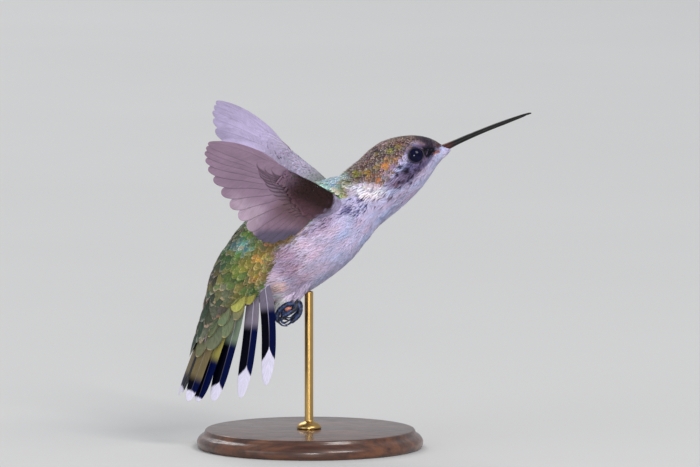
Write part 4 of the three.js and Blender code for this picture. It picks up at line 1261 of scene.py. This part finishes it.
def join_meshes(meshes):
    """Several meshes as one. The last answer is the number of the mesh that each point is from."""
    vane_at, face = (np.concatenate([mesh[k] for mesh in meshes]) for k in (2, 3))
    number = np.concatenate([np.full(len(mesh[0]), k) for k, mesh in enumerate(meshes)])
    return *join(meshes), vane_at, face, number


def blade_places(vane_at, number):
    """Each blade as a patch of its own on a square grid of patches."""
    across = math.ceil(math.sqrt(number.max() + 1))
    cell = np.stack([number % across, number // across], -1)
    inside = np.stack([0.5 + 0.45 * vane_at[:, 0], 0.05 + 0.9 * vane_at[:, 1]], -1)
    return (cell + inside) / across


def fan_blades(fan):
    """The flight feathers of one fan of a wing, from its first to its last."""
    blades = []
    for i, tip in enumerate(along_curve(fan["tips"], fan["count"])):
        t = i / (fan["count"] - 1)
        bow, outer, inner = (part_way(fan[key], t) for key in ("bow", "outer", "inner"))
        root, taper = (blend(*np.array(fan[key]), t) for key in ("roots", "taper"))
        blades.append(Blade(root, tip, bow, outer, inner, taper, -math.tan(WING_SHINGLE)))
    return blades


def paint_flight():
    """Flight feathers: a base colour, a darker or paler rim, a shaft, and fine oblique barbs."""
    paint = Paint("flight", 0.5)
    across, side, along, seed = paint.vane()
    lines = paint.barbs(side, along, seed, 80.0, 9.0)
    broad = paint.noise(paint.vector(paint.times(along, 4.0), across, paint.times(seed, 90)), 1.2, 2.0)
    light = paint.times(paint.fade(lines, 0.35, 0.65, 0.88, 1.10), paint.fade(broad, 0.3, 0.7, 0.90, 1.10))
    rim_part = paint.fade(side, 0.82, 1.0, 0.0, 0.8)
    colour = paint.mix(rim_part, paint.attribute("mid"), paint.attribute("rim"))
    shaft = paint.fade(side, 0.05, 0.02, 0.0, 0.7)
    paint.set("Base Color", paint.mix(shaft, paint.shade(colour, light), paint.attribute("shaft")))
    paint.set("Roughness", paint.fade(lines, 0.3, 0.7, 0.42, 0.58))
    paint.bump(lines, 0.6)
    return paint.material


def wing_axes(side):
    """A wing's shoulder and the ways along its span, along its chord and towards its back."""
    span = unit(np.array([WING_REACH[0], side * WING_REACH[1], WING_REACH[2]]))
    chord = np.array(WING_CHORD)
    chord = unit(chord - span * chord.dot(span))
    shoulder = np.array([WING_SHOULDER[0], side * WING_SHOULDER[1], WING_SHOULDER[2]])
    return shoulder, span, chord, np.cross(span, chord) * side


def wing_colours(a, b, face):
    """Colours of a wing by span and chord, on its back (face 1) and its under side (-1)."""
    inner = (1 - smooth_step(a, 14, 30))[:, None]
    # dark: the under side's leading edge by the body, its own dark coverts deepened by painted shade.
    dark = ((1 - smooth_step(b, 1.2, 4.6)) * (1 - smooth_step(a, 11, 24)))[:, None]
    brown = ((1 - smooth_step(a, 12, 19)) * (1 - 0.6 * smooth_step(b, 5.5, 8.5)))[:, None]
    pale = (smooth_step(a, 14, 20) * (1 - smooth_step(a, 25, 34)) * smooth_step(b, 5.5, 8.5))[:, None]
    grey = (smooth_step(b - 0.28 * (a - 10), 8.2, 10.0) * (1 - smooth_step(a, 15.5, 18.5)))[:, None]
    # Painted light and shade: the back is lighter, as lit from above, and the under side darker, as in shade.
    under = blend(srgb(148, 120, 144), srgb(180, 156, 176), pale)
    under = blend(under, srgb(102, 71, 81), brown)
    under = blend(under, srgb(82, 72, 96), grey)
    under = blend(under, srgb(42, 18, 18), dark)
    back = blend(srgb(182, 168, 204), srgb(150, 138, 160), inner)
    back = back * (1 - 0.17 * smooth_step(a, 30, 44))[:, None]
    back = back * (1 - dark * 0.4) + srgb(206, 198, 230) * dark * 0.4
    return (under * (1 - face[:, None]) + back * (1 + face[:, None])) / 2


def flight_looks(side, points, vane_at, face, number, rim=0.94, shaft=0.66):
    """Attributes of a wing's feathers. rim and shaft are how light those are beside the middle."""
    shoulder, span, chord, _ = wing_axes(side)
    mid = wing_colours((points - shoulder) @ span, (points - shoulder) @ chord, face)
    mid = mid * np.exp(rng.normal(0, 0.05, number.max() + 1))[number][:, None]
    ones = np.ones((len(mid), 1))
    return {
        "vane": vane_at,
        "mid": np.column_stack([mid, ones]),
        "rim": np.column_stack([mid * rim, ones]),
        "shaft": np.column_stack([mid * shaft, ones]),
    }


def make_wings(material):
    """Primaries and secondaries, and the greater and median coverts over their bases on both faces."""
    for side, label in SIDES:
        place = partial(wing_place, side)
        coverts = []
        for name, fan in (("primaries", PRIMARIES), ("secondaries", SECONDARIES)):
            blades = fan_blades(fan)
            points, faces, vane_at, face, number = join_meshes([blade.mesh(place) for blade in blades])
            looks = flight_looks(side, points, vane_at, face, number)
            solid = f"wing_{label}_{name}"
            new_piece(f"{name}_{label}", points, faces, material, "flight_feathers", (solid,), looks)
            between = [a.between(b, 0.5) for a, b in zip(blades, blades[1:])]
            for row, end, height in ((blades, 0.36, 0.10), (between, 0.27, 0.16), (blades, 0.18, 0.22)):
                for blade in row:
                    covert = blade.covert(end * rng.uniform(0.97, 1.03))
                    for way in (1, -1):
                        coverts.append(covert.mesh(place, way * height, 12, 0.05, 0.01, COVERT_COLUMNS))
        points, faces, vane_at, face, number = join_meshes(coverts)
        # The face of a covert is the face of the wing that it lies on.
        face = np.where(number % 2 == 0, 1, -1)
        looks = flight_looks(side, points, vane_at, face, number, 1.08, 0.9)
        new_piece(f"greater_coverts_{label}", points, faces, material, "flight_feathers", (), looks,
                  blade_places(vane_at, number))


COVERT_ROWS = 40
COVERT_TURN = 28  # of them, the rows that go round the arm
COVERT_PAST = 2.0  # how far past the arm the others go
COVERT_HEIGHT = 0.45  # and how high they lie over the middle of the wing
SOFT_COVERTS = 0.7


def covert_surface(side, face):
    """The arm's back (face 1) or under side (-1), from the leading edge to a little past the arm."""
    a = np.linspace(-1.5, 21.0, 60)
    middle, half, thick = arm_section(a)
    share = np.linspace(-1, 1, COVERT_TURN)[:, None]
    b = middle + half * share
    height = thick * np.sqrt(1 - share ** 2)
    height = np.where(share > 0, np.maximum(height, COVERT_HEIGHT), height)
    further = np.linspace(0, 1, COVERT_ROWS - COVERT_TURN + 1)[1:, None]
    b = np.vstack([b, middle + half + further * COVERT_PAST])
    height = np.vstack([height, np.full_like(b[COVERT_TURN:], COVERT_HEIGHT)])
    for _ in range(3):
        height[1:-1] = (height[:-2] + height[2:] + 2 * height[1:-1]) / 4
    spread = np.broadcast_to(a, b.shape)
    points = wing_place(side, spread, b, face * height)
    return Surface(points, False, wing_place(side, spread, b, face * (height + 1)) - points)


def make_lesser_coverts(scales, wisps):
    for side, label in SIDES:
        shoulder, span, chord, _ = wing_axes(side)
        for face, name in ((1, "back"), (-1, "under")):
            surface = covert_surface(side, face)
            down, out = np.indices((surface.rows, surface.columns)) / COVERT_TURN
            bare = (down > 0.92) | (out * COVERT_TURN > 0.93 * surface.columns)
            spacing = np.where(bare, 0, 0.28 + 0.16 * down)
            p, q = scatter(surface, spacing)
            down, out = p / COVERT_TURN, q / surface.columns
            length = (0.9 + 1.0 * np.clip(down, 0, 1)) * (1 - 0.3 * out)
            width = (0.55 + 0.65 * np.clip(down, 0, 1)) * (1 - 0.2 * out)
            turn = -(0.1 + 1.0 * out) + rng.normal(0, 0.08, len(p))
            sizes = np.array([length, width, turn, np.full(len(p), 0.15), rng.uniform(0.0, 0.04, len(p))])
            # A feather takes its colours from the place of its tip.
            row_mm = surface.sample(surface.row_step, p, q)
            column_mm = surface.sample(surface.column_step, p, q)
            tip_p = p + 0.8 * length * np.cos(turn) / row_mm
            tip_q = q - 0.8 * length * np.sin(turn) / column_mm
            tips = surface.at(tip_p, tip_q)[0]
            a, b = (tips - shoulder) @ span, (tips - shoulder) @ chord
            mid = wing_colours(a, b, np.full(len(p), face))
            if face == 1:
                green = ((1 - smooth_step(a, 2, 14)) * 0.8)[:, None]
                mid = blend(mid, srgb(88, 108, 74), green)
                down_like = np.zeros(len(p), bool)
            else:
                # The down of the side runs on over the wing's root.
                pale = (1 - smooth_step(a + 0.8 * ripple(tips, 2.5), 0.2, 3.0))[:, None]
                mid = blend(mid, srgb(182, 172, 204), pale)
                down_like = pale[:, 0] > 0.3
                sizes[0] = np.where(down_like, sizes[0] * 1.3, sizes[0])
                sizes[1] = np.where(down_like, 0.40, sizes[1])
            looks = {"mid": mid, "rim": mid * 1.12, "rim_width": np.full(len(p), 0.2),
                     "metal": np.full(len(p), 0.08), "upper": np.ones(len(p))}
            looks = vary(looks, 0.09, 0.03)
            for kind, chosen, vane, paint in (("firm", ~down_like, Vane(5, 5, 0.55, 0.5, 0.04, 0.1), scales),
                                              ("down", down_like, Vane(6, 5, 0.5, 0.45, 0.30, 0.45), wisps)):
                if chosen.any():
                    some = {key: values[chosen] for key, values in looks.items()}
                    coat_piece(f"coverts_{name}_{kind}_{label}", surface, vane, p[chosen], q[chosen],
                               sizes[:, chosen], some, paint, SOFT_COVERTS)


# ---------------------------------------------------------------- the tail
def tail_place(side, a, b, height):
    along = np.array([-math.sin(TAIL_LEAN), 0, -math.cos(TAIL_LEAN)])
    back = np.array([-math.cos(TAIL_LEAN), 0, math.sin(TAIL_LEAN)])
    turn = TAIL_SLOPE - side * TAIL_TWIST
    across = np.array([0, side * math.cos(turn), 0]) - back * math.sin(turn)
    up = back * math.cos(turn) + np.array([0, side * math.sin(turn), 0])
    a, b, height = (np.asarray(v)[..., None] for v in (a, b, height))
    return TAIL_ROOT + along * a + across * b + up * height


# For each tail feather from the middle out: colour at the root, and where the dark part, the white tip at the
# edges and the white at the shaft start, as shares of the length.
TAIL_LOOKS = (
    ((112, 100, 72), 0.83, 0.925, 0.915),
    ((146, 138, 74), 0.665, 0.975, 0.965),
    ((112, 126, 108), 0.545, 0.90, 0.845),
    ((122, 114, 128), 0.45, 0.825, 0.745),
    ((118, 110, 128), 0.39, 0.80, 0.68),
)
# On the left, where the tail stands further from the body, the roots lie deeper under the body's feathers:
# how far they start down the tail, and their share of the way across.
LEFT_ROOTS = ((0, 1.0), (0, 1.0), (0.5, 0.85), (1.0, 0.55), (4.0, 0.38))
TAIL_TAPERS = ((0.80, 2.2), (0.80, 2.2), (0.76, 2.0), (0.70, 2.0), (0.68, 2.0))


def paint_tail():
    """Tail feathers: a root colour, a blue-black part and a white tip, placed by the attribute bars."""
    paint = Paint("tail", 0.4)
    across, side, along, seed = paint.vane()
    dark_at, edge_at, shaft_at = paint.axes(paint.attribute("bars", "Vector"))[:3]
    lines = paint.barbs(side, along, seed, 70.0, 8.0)
    place = paint.plus(along, paint.times(paint.minus(lines, 0.5), 0.03))
    dark = paint.fade(place, paint.minus(dark_at, 0.05), paint.plus(dark_at, 0.03))
    # The white starts in a point at the shaft, and further down at the edges.
    slope = paint.times(paint.math("POWER", side, 0.6), paint.minus(edge_at, shaft_at))
    white_edge = paint.plus(shaft_at, slope)
    white = paint.fade(place, paint.minus(white_edge, 0.010), paint.plus(white_edge, 0.010))
    # Painted shade: one web is blacker and the other bluer, as light falls on the feather folded at its shaft.
    lit_web = paint.fade(across, -0.04, 0.04)
    black = paint.mix(lit_web, srgb(1, 2, 14), srgb(1, 10, 56))
    colour = paint.mix(dark, paint.attribute("mid"), black)
    colour = paint.mix(white, colour, srgb(222, 217, 238))
    colour = paint.shade(colour, paint.fade(lines, 0.35, 0.65, 0.88, 1.08))
    shaft = paint.times(paint.fade(side, 0.06, 0.025), paint.fade(along, 0.7, 0.2, 0.10, 0.8))
    paint.set("Base Color", paint.mix(shaft, colour, srgb(206, 198, 222)))
    paint.set("Roughness", paint.fade(lines, 0.3, 0.7, 0.30, 0.44))
    paint.set("Specular IOR Level", 0.04)
    paint.bump(lines, 0.6)
    return paint.material


# The long coverts on the tail's upper side, as roots and tips along and across it, in three layers.
TAIL_COVERTS = (
    (((9.5, 0.9), (16.8, 1.1)), ((8.2, 2.3), (15.2, 2.9)), ((5.5, 3.2), (12.0, 4.2)),
     ((2.6, 4.2), (8.4, 5.4)), ((-0.6, 4.9), (4.4, 6.5))),
    (((6.0, 1.6), (12.8, 1.9)), ((4.0, 2.7), (10.2, 3.5)), ((1.0, 3.7), (6.6, 4.7)),
     ((-1.8, 4.3), (3.0, 5.6))),
    (((3.0, 0.8), (10.4, 0.8)), ((2.2, 2.2), (8.2, 2.7)), ((0.0, 3.2), (5.4, 4.0)),
     ((-3.0, 4.0), (1.6, 5.0))),
)


def make_tail_coverts(material):
    """Broad scales over the roots of the tail feathers."""
    meshes, tips, middles = [], [], []
    for side, _ in SIDES:
        # On the left, where the tail stands further out, they are drawn in against the body.
        narrow, droop, tuck = (1.0, 0.48, 0.0) if side == RIGHT else (0.78, 0.80, 0.45)

        def place(a, b, height):
            height = height - droop * np.maximum(b - 2.6, 0) - tuck * np.maximum(1 - a, 0)
            return tail_place(side, a, b * narrow, height)

        for layer, pairs in enumerate(TAIL_COVERTS):
            for root, tip in pairs:
                wide = rng.uniform(0.9, 1.08)
                tip = np.array(tip) + rng.normal(0, 0.25, 2)
                blade = Blade(root, tip, rng.normal(0, 0.15), 1.55 * wide, 1.6 * wide, (0.5, 1.9))
                meshes.append(blade.mesh(place, 0.45 + 0.3 * layer, 14, 0.12, 0.03, COVERT_COLUMNS))
                tips.append(place(*(tip - 0.15 * (tip - root)), 0.5))
                middles.append(place(*(tip - 0.75 * (tip - root)), 0.5))
    points, faces, vane_at, _, number = join_meshes(meshes)
    # The colours change along each feather, from its middle's place to its tip's.
    far = smooth_step(vane_at[:, 1], 0.3, 0.9)[:, None]
    mixed = {}
    for share, places in ((far, tips), (1 - far, middles)):
        places = np.array(places)
        looks = vary(markings(places, places * 0 + (0, 0, 1), 9.0), 0.10, 0.05)
        looks["rim_width"] = np.full(len(places), 0.16)
        for key, last in (("mid", "metal"), ("rim", "rim_width")):
            values = np.column_stack([looks[key], looks[last]])[number] * share
            mixed[key] = mixed.get(key, 0) + values
    attributes = {"vane": vane_at, **mixed}
    patches = blade_places(vane_at, number)
    new_piece("tail_coverts", points, faces, material, "plumage", (), attributes, patches)


def make_tail(material):
    for side, label in SIDES:
        for i, (root, tip, bow, inner, outer, lift) in enumerate(RECTRICES):
            def place(a, b, height):
                return tail_place(side, a, b, height - TAIL_STACK * i)

            if side == LEFT:
                root, lift = (root[0] + LEFT_ROOTS[i][0], root[1] * LEFT_ROOTS[i][1]), 0.0
            blade = Blade(root, tip, bow, inner, outer, TAIL_TAPERS[i], 0.0, lift)
            points, faces, vane_at, _ = blade.mesh(place)
            colour, *bars = TAIL_LOOKS[i]
            attributes = {
                "vane": vane_at,
                "mid": np.tile(np.append(srgb(*colour), 1), (len(points), 1)),
                "bars": np.tile(bars, (len(points), 1)),
            }
            new_piece(f"rectrix_{label}_{i + 1}", points, faces, material, "tail_feathers",
                      (f"tail_feather_{label}_{i + 1}",), attributes)


# ---------------------------------------------------------------- eyes
def paint_eye():
    paint = Paint("eye", 0.04)
    speck = paint.noise(paint.place(), 1500.0)
    paint.set("Base Color", paint.mix(paint.fade(speck, 0.4, 0.7), srgb(2, 3, 30), srgb(8, 8, 44)))
    paint.set("Specular IOR Level", 0.15)
    return paint.material


def paint_lids():
    paint = Paint("lids", 0.55)
    pebbles = paint.pebbles(9000.0)
    paint.set("Base Color", paint.mix(pebbles, srgb(66, 58, 72), srgb(26, 22, 30)))
    paint.set("Specular IOR Level", 0.3)
    paint.bump(pebbles, 0.8)
    return paint.material


def make_eyes(eye_paint, lid_paint):
    for (_, label), (middle, radius, seat, ahead, up, out) in zip(SIDES, eye_frames()):
        rows = np.linspace(0, math.pi, 40)[1:-1, None, None]
        ring = full_turn(64)[None, :, None]
        ball = np.sin(rows) * (ahead * np.cos(ring) + up * np.sin(ring)) + np.cos(rows) * out * EYE_FLATNESS
        points, faces = tube_with_ends(middle + ball * radius)
        new_piece(f"eyeball_{label}", points, faces, eye_paint, "eye", (f"eye_{label}",))
        make_lids(label, middle + out * seat, ahead, up, out, lid_paint)


LID_STEPS = 96  # round the eye
LID_COLUMNS = 12  # round the lid itself


def make_lids(label, middle, ahead, up, out, material):
    """A thin ring of bare skin round the eye, drawn out to a corner in front and behind."""
    ring = full_turn(LID_STEPS)
    corner = np.abs(np.cos(ring)) ** 8
    opening = EYE_OPENING * (1 + 0.06 * corner)
    rings = []
    for k in full_turn(LID_COLUMNS):
        reach = opening + LID_WIDTH / 2 * (0.9 + math.cos(k)) * (1 + 0.5 * corner)
        height = 0.03 + 0.07 * math.sin(k) - 0.45 * (reach - opening) + 0.012 * np.sin(ring * 37 + k * 2)
        rings.append(middle + (reach * np.cos(ring))[:, None] * ahead + (reach * np.sin(ring))[:, None] * up
                     + height[:, None] * out)
    grid = np.array(rings).transpose(1, 0, 2)
    quads = grid_faces(LID_STEPS + 1, LID_COLUMNS, True) % (LID_STEPS * LID_COLUMNS)
    points = grid.reshape(-1, 3)
    new_piece(f"lids_{label}", points, outward_faces(points, quads), material, "plumage")


# ---------------------------------------------------------------- the bill
# Along the bill: share of its length, half width, height of the upper and of the lower mandible.
BILL_SECTIONS = np.array([(0.0, 1.05, 0.92, 0.78), (0.08, 0.86, 0.78, 0.64), (0.2, 0.68, 0.64, 0.52),
                          (0.45, 0.56, 0.54, 0.44), (0.75, 0.50, 0.48, 0.36), (0.92, 0.38, 0.42, 0.20),
                          (0.98, 0.26, 0.34, 0.10), (1.0, 0.06, 0.20, 0.02)])


def make_bill(material):
    along = np.array([math.cos(BILL_RISE), 0, math.sin(BILL_RISE)])
    up = np.array([-math.sin(BILL_RISE), 0, math.cos(BILL_RISE)])
    root = np.array([BILL_ROOT[0], 0, BILL_ROOT[1]])
    for name, way, column, share in (("upper", 1, 2, 1.0), ("lower", -1, 3, BILL_LOWER_SHARE)):
        rings = []
        for t in np.linspace(0, 1, 70) ** 0.9:
            half, height = (np.interp(t, BILL_SECTIONS[:, 0], BILL_SECTIONS[:, k]) for k in (1, column))
            reach = t * BILL_LENGTH * share - 0.8 * (1 - t)
            middle = root + along * reach + up * (4 * BILL_ARCH * t * (1 - t) - way * 0.03)
            turn = np.linspace(0, math.pi, 15)
            # The ridge is a little sharper than an ellipse, and the cutting edge turns in.
            profile = np.sin(turn) ** 0.9
            side = np.cos(turn) * (1 - 0.10 * np.sin(turn) ** 4)
            arc = middle + up * way * height * profile[:, None] + LEFTWARDS * half * side[:, None]
            floor = np.linspace(-1, 1, 6)[1:-1][:, None]
            under = middle + LEFTWARDS * half * floor * 0.9
            rings.append(np.vstack([arc, under]))
        points, faces = tube_with_ends(np.array(rings))
        new_piece(f"mandible_{name}", points, faces, material, "bill", (f"bill_{name}",))


def paint_bill():
    paint = Paint("bill", 0.33)
    grain = paint.noise(paint.scaled_place(60, 900, 900), 1.0)
    colour = paint.mix(grain, srgb(6, 5, 6), srgb(20, 17, 18))
    root = paint.fade(paint.axes(paint.place())[0], 0.0272, 0.0250)
    paint.set("Base Color", paint.mix(paint.times(root, 0.6), colour, srgb(84, 36, 28)))
    paint.set("Roughness", paint.fade(grain, 0.3, 0.7, 0.28, 0.45))
    paint.set("Specular IOR Level", 0.28)
    paint.bump(grain, 0.5)
    return paint.material


# ---------------------------------------------------------------- feet
FOOT_MIDDLE = 2.9
SHANK = ((-2.0, 28.5), (-2.4, 27.8), (-2.6, 27.2))
# Each toe: how far it stands outwards, its number of scutes, then the x and z places along it.
TOES = (
    (-0.95, 12, ((-2.6, 27.2), (-3.9, 26.9), (-4.8, 26.0), (-4.9, 24.8), (-4.1, 24.0), (-3.3, 24.2))),
    (0.0, 14, ((-2.6, 27.2), (-4.3, 26.9), (-5.7, 25.8), (-6.1, 24.4), (-5.3, 23.2), (-4.1, 22.9))),
    (0.95, 12, ((-2.6, 27.2), (-2.7, 26.3), (-3.8, 25.5), (-5.0, 24.8), (-5.2, 23.8), (-4.2, 23.3))),
    (0.3, 10, ((-2.5, 27.2), (-1.8, 26.2), (-2.1, 25.0), (-3.0, 24.1), (-4.0, 23.3), (-4.8, 23.0))),
)
SOLE = (-4.0, 26.1)
SOLE_RADII = (0.7, 0.5, 0.5)
TOE_RADII = (0.50, 0.34)
CLAW_SHARE = 0.28


def toe_tube(knots, scutes):
    """A toe of scaly rings that ends in a tapering claw."""
    line = curve_through(knots, 90)
    ahead = unit(np.gradient(line, axis=0))
    across = unit(np.cross(ahead, LEFTWARDS))
    other = np.cross(ahead, across)
    t = np.linspace(0, 1, len(line))
    claw = smooth_step(t, 1 - CLAW_SHARE, 1 - CLAW_SHARE + 0.04)
    toe_radius = part_way(TOE_RADII, t)
    toe_radius = toe_radius * (1 + 0.11 * np.abs(np.sin(t * math.pi * scutes)) ** 0.6 - 0.05)
    claw_radius = 0.21 * np.sqrt(np.maximum(1 - ((t - 1 + CLAW_SHARE) / CLAW_SHARE), 0.004))
    radius = blend(toe_radius, claw_radius, claw)
    turn = full_turn(14)
    circle = across[:, None] * np.cos(turn)[:, None] + other[:, None] * np.sin(turn)[:, None]
    return tube_with_ends(line[:, None] + circle * radius[:, None, None])


def make_feet(material, sole_paint):
    for side, label in SIDES:
        rows = np.linspace(0, math.pi, 18)[1:-1, None]
        around = full_turn(28)[None]
        ball = np.stack([np.sin(rows) * np.cos(around), np.cos(rows) + 0 * around,
                         np.sin(rows) * np.sin(around)], -1)
        middle = np.array([SOLE[0], side * (FOOT_MIDDLE - 0.1), SOLE[1]])
        points, faces = tube_with_ends(middle + ball * np.array(SOLE_RADII))
        new_piece(f"sole_{label}", points, faces, sole_paint, "foot")
        tubes = []
        for out, scutes, line in TOES:
            knots = [(x, side * (FOOT_MIDDLE + out * min(1, i / 2)), z) for i, (x, z) in enumerate(line)]
            tubes.append(toe_tube(knots, scutes))
        shank = curve_through([(x, side * FOOT_MIDDLE, z) for x, z in SHANK], 20)
        turn = full_turn(14)
        ring = np.stack([np.cos(turn), np.sin(turn), 0 * turn], -1) * 0.6
        tubes.append(tube_with_ends(shank[:, None] + ring))
        new_piece(f"toes_{label}", *join(tubes), material, "foot", (f"foot_{label}",))


def paint_sole():
    paint = Paint("sole", 0.5)
    pebbles = paint.pebbles(6000.0)
    paint.set("Base Color", paint.mix(pebbles, srgb(236, 158, 132), srgb(160, 88, 80)))
    paint.bump(pebbles, 0.8, 0.00006)
    return paint.material


def paint_foot():
    paint = Paint("foot", 0.45)
    mottle = paint.noise(paint.place(), 1400.0)
    paint.set("Base Color", paint.mix(paint.fade(mottle, 0.4, 0.62), srgb(6, 8, 20), srgb(40, 60, 104)))
    paint.bump(mottle, 0.6, 0.00008)
    return paint.material


# ---------------------------------------------------------------- the stand
def lathe(profile, columns, middle=(0, 0)):
    ring = full_turn(columns)
    rows = [np.stack([middle[0] + r * np.cos(ring), middle[1] + r * np.sin(ring), np.full(columns, z)], -1)
            for r, z in profile]
    return tube_with_ends(np.array(rows))


def rounded(profile, steps=5):
    """A profile with each corner cut to a small arc."""
    out = [profile[0]]
    for before, corner, after in zip(profile, profile[1:], profile[2:]):
        before, corner, after = map(np.array, (before, corner, after))
        reach = min(0.3, np.linalg.norm(corner - before) / 2.2, np.linalg.norm(after - corner) / 2.2)
        start = corner + unit(before - corner) * reach
        end = corner + unit(after - corner) * reach
        for t in np.linspace(0, 1, steps):
            out.append(start * (1 - t) ** 2 + corner * 2 * t * (1 - t) + end * t * t)
    out.append(profile[-1])
    return out


def make_stand(wood, brass):
    low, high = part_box("stand_base")
    radius, top = high[0] / MM, high[2] / MM
    base = rounded([(0.01, 0), (radius - 0.5, 0), (radius, 0.5), (radius, 1.5), (radius - 0.5, 2.2),
                    (radius - 1.3, 2.7), (radius - 1.6, top), (0.01, top)])
    points, faces = lathe(base, 128)
    new_piece("base", points, faces, wood, "stand_wood", ("stand_base",))
    low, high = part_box("stand_rod")
    foot, bottom, rod_top = (high[0] - low[0]) / MM / 2, low[2] / MM, high[2] / MM
    middle = ((low[0] + high[0]) / MM / 2, (low[1] + high[1]) / MM / 2)
    rod = rounded([(0.01, bottom), (foot, bottom), (foot, bottom + 0.5), (foot - 0.6, bottom + 1.1),
                   (0.8, bottom + 1.4), (0.8, rod_top), (0.01, rod_top)])
    points, faces = lathe(rod, 48, middle)
    new_piece("rod", points, faces, brass, "stand_brass", ("stand_rod",))


def paint_wood():
    paint = Paint("wood", 0.35)
    place = paint.scaled_place(40, 260, 260)
    grain = paint.noise(place, 1.6, 6.0, 0.6)
    fine = paint.noise(place, 9.0, 3.0)
    colour = paint.mix(paint.fade(grain, 0.35, 0.65), srgb(58, 30, 18), srgb(104, 62, 38))
    paint.set("Base Color", paint.mix(paint.fade(fine, 0.5, 0.75, 0.0, 0.5), colour, srgb(36, 18, 12)))
    paint.set("Roughness", paint.fade(fine, 0.3, 0.7, 0.28, 0.42))
    paint.set("Coat Weight", 0.4)
    paint.set("Coat Roughness", 0.12)
    paint.bump(fine, 0.4)
    return paint.material


def paint_brass():
    paint = Paint("brass", 0.3, 1.0)
    turned = paint.noise(paint.scaled_place(200, 200, 700), 1.0, 3.0)
    paint.set("Base Color", paint.mix(turned, srgb(178, 144, 86), srgb(196, 164, 104)))
    paint.set("Roughness", paint.fade(turned, 0.3, 0.7, 0.28, 0.36))
    paint.bump(turned, 0.15, 0.00001)
    return paint.material


FLOOR_REACH = 12000.0  # half the floor's width


def make_floor():
    points = FLOOR_REACH * np.array([(-1, -1, 0), (1, -1, 0), (1, 1, 0), (-1, 1, 0)])
    mesh = bpy.data.meshes.new("floor")
    mesh.from_pydata((points * MM).tolist(), [], [(0, 1, 2, 3)])
    floor = bpy.data.objects.new("floor", mesh)
    bpy.context.scene.collection.objects.link(floor)
    paint = Paint("floor", 0.9)
    cloud = paint.noise(paint.place(), 6.0)
    paint.set("Base Color", paint.mix(cloud, (0.58, 0.58, 0.57), (0.62, 0.62, 0.61)))
    mesh.materials.append(paint.material)


# ---------------------------------------------------------------- the scene
make_camera()
make_lights()
make_floor()
body = body_surface()
scale_paint = paint_feathers("scale_feathers", 0.6, (13.0, 2.5), 0.34, 0.6)
wisp_paint = paint_feathers("wisp_feathers", 0.8, (1.6, 3.0), 0.13, 0.84)
make_skin(body, paint_skin())
make_coat(body, scale_paint, wisp_paint)
make_vent(wisp_paint)
make_thigh_down(wisp_paint)
make_wings(paint_flight())
make_lesser_coverts(scale_paint, wisp_paint)
make_tail(paint_tail())
make_tail_coverts(paint_feathers("long_feathers", 0.6, (40.0, 3.0), 0.30, 0.72, 3.0, 0.12))
make_eyes(paint_eye(), paint_lids())
make_bill(paint_bill())
make_feet(paint_foot(), paint_sole())
make_stand(paint_wood(), paint_brass())
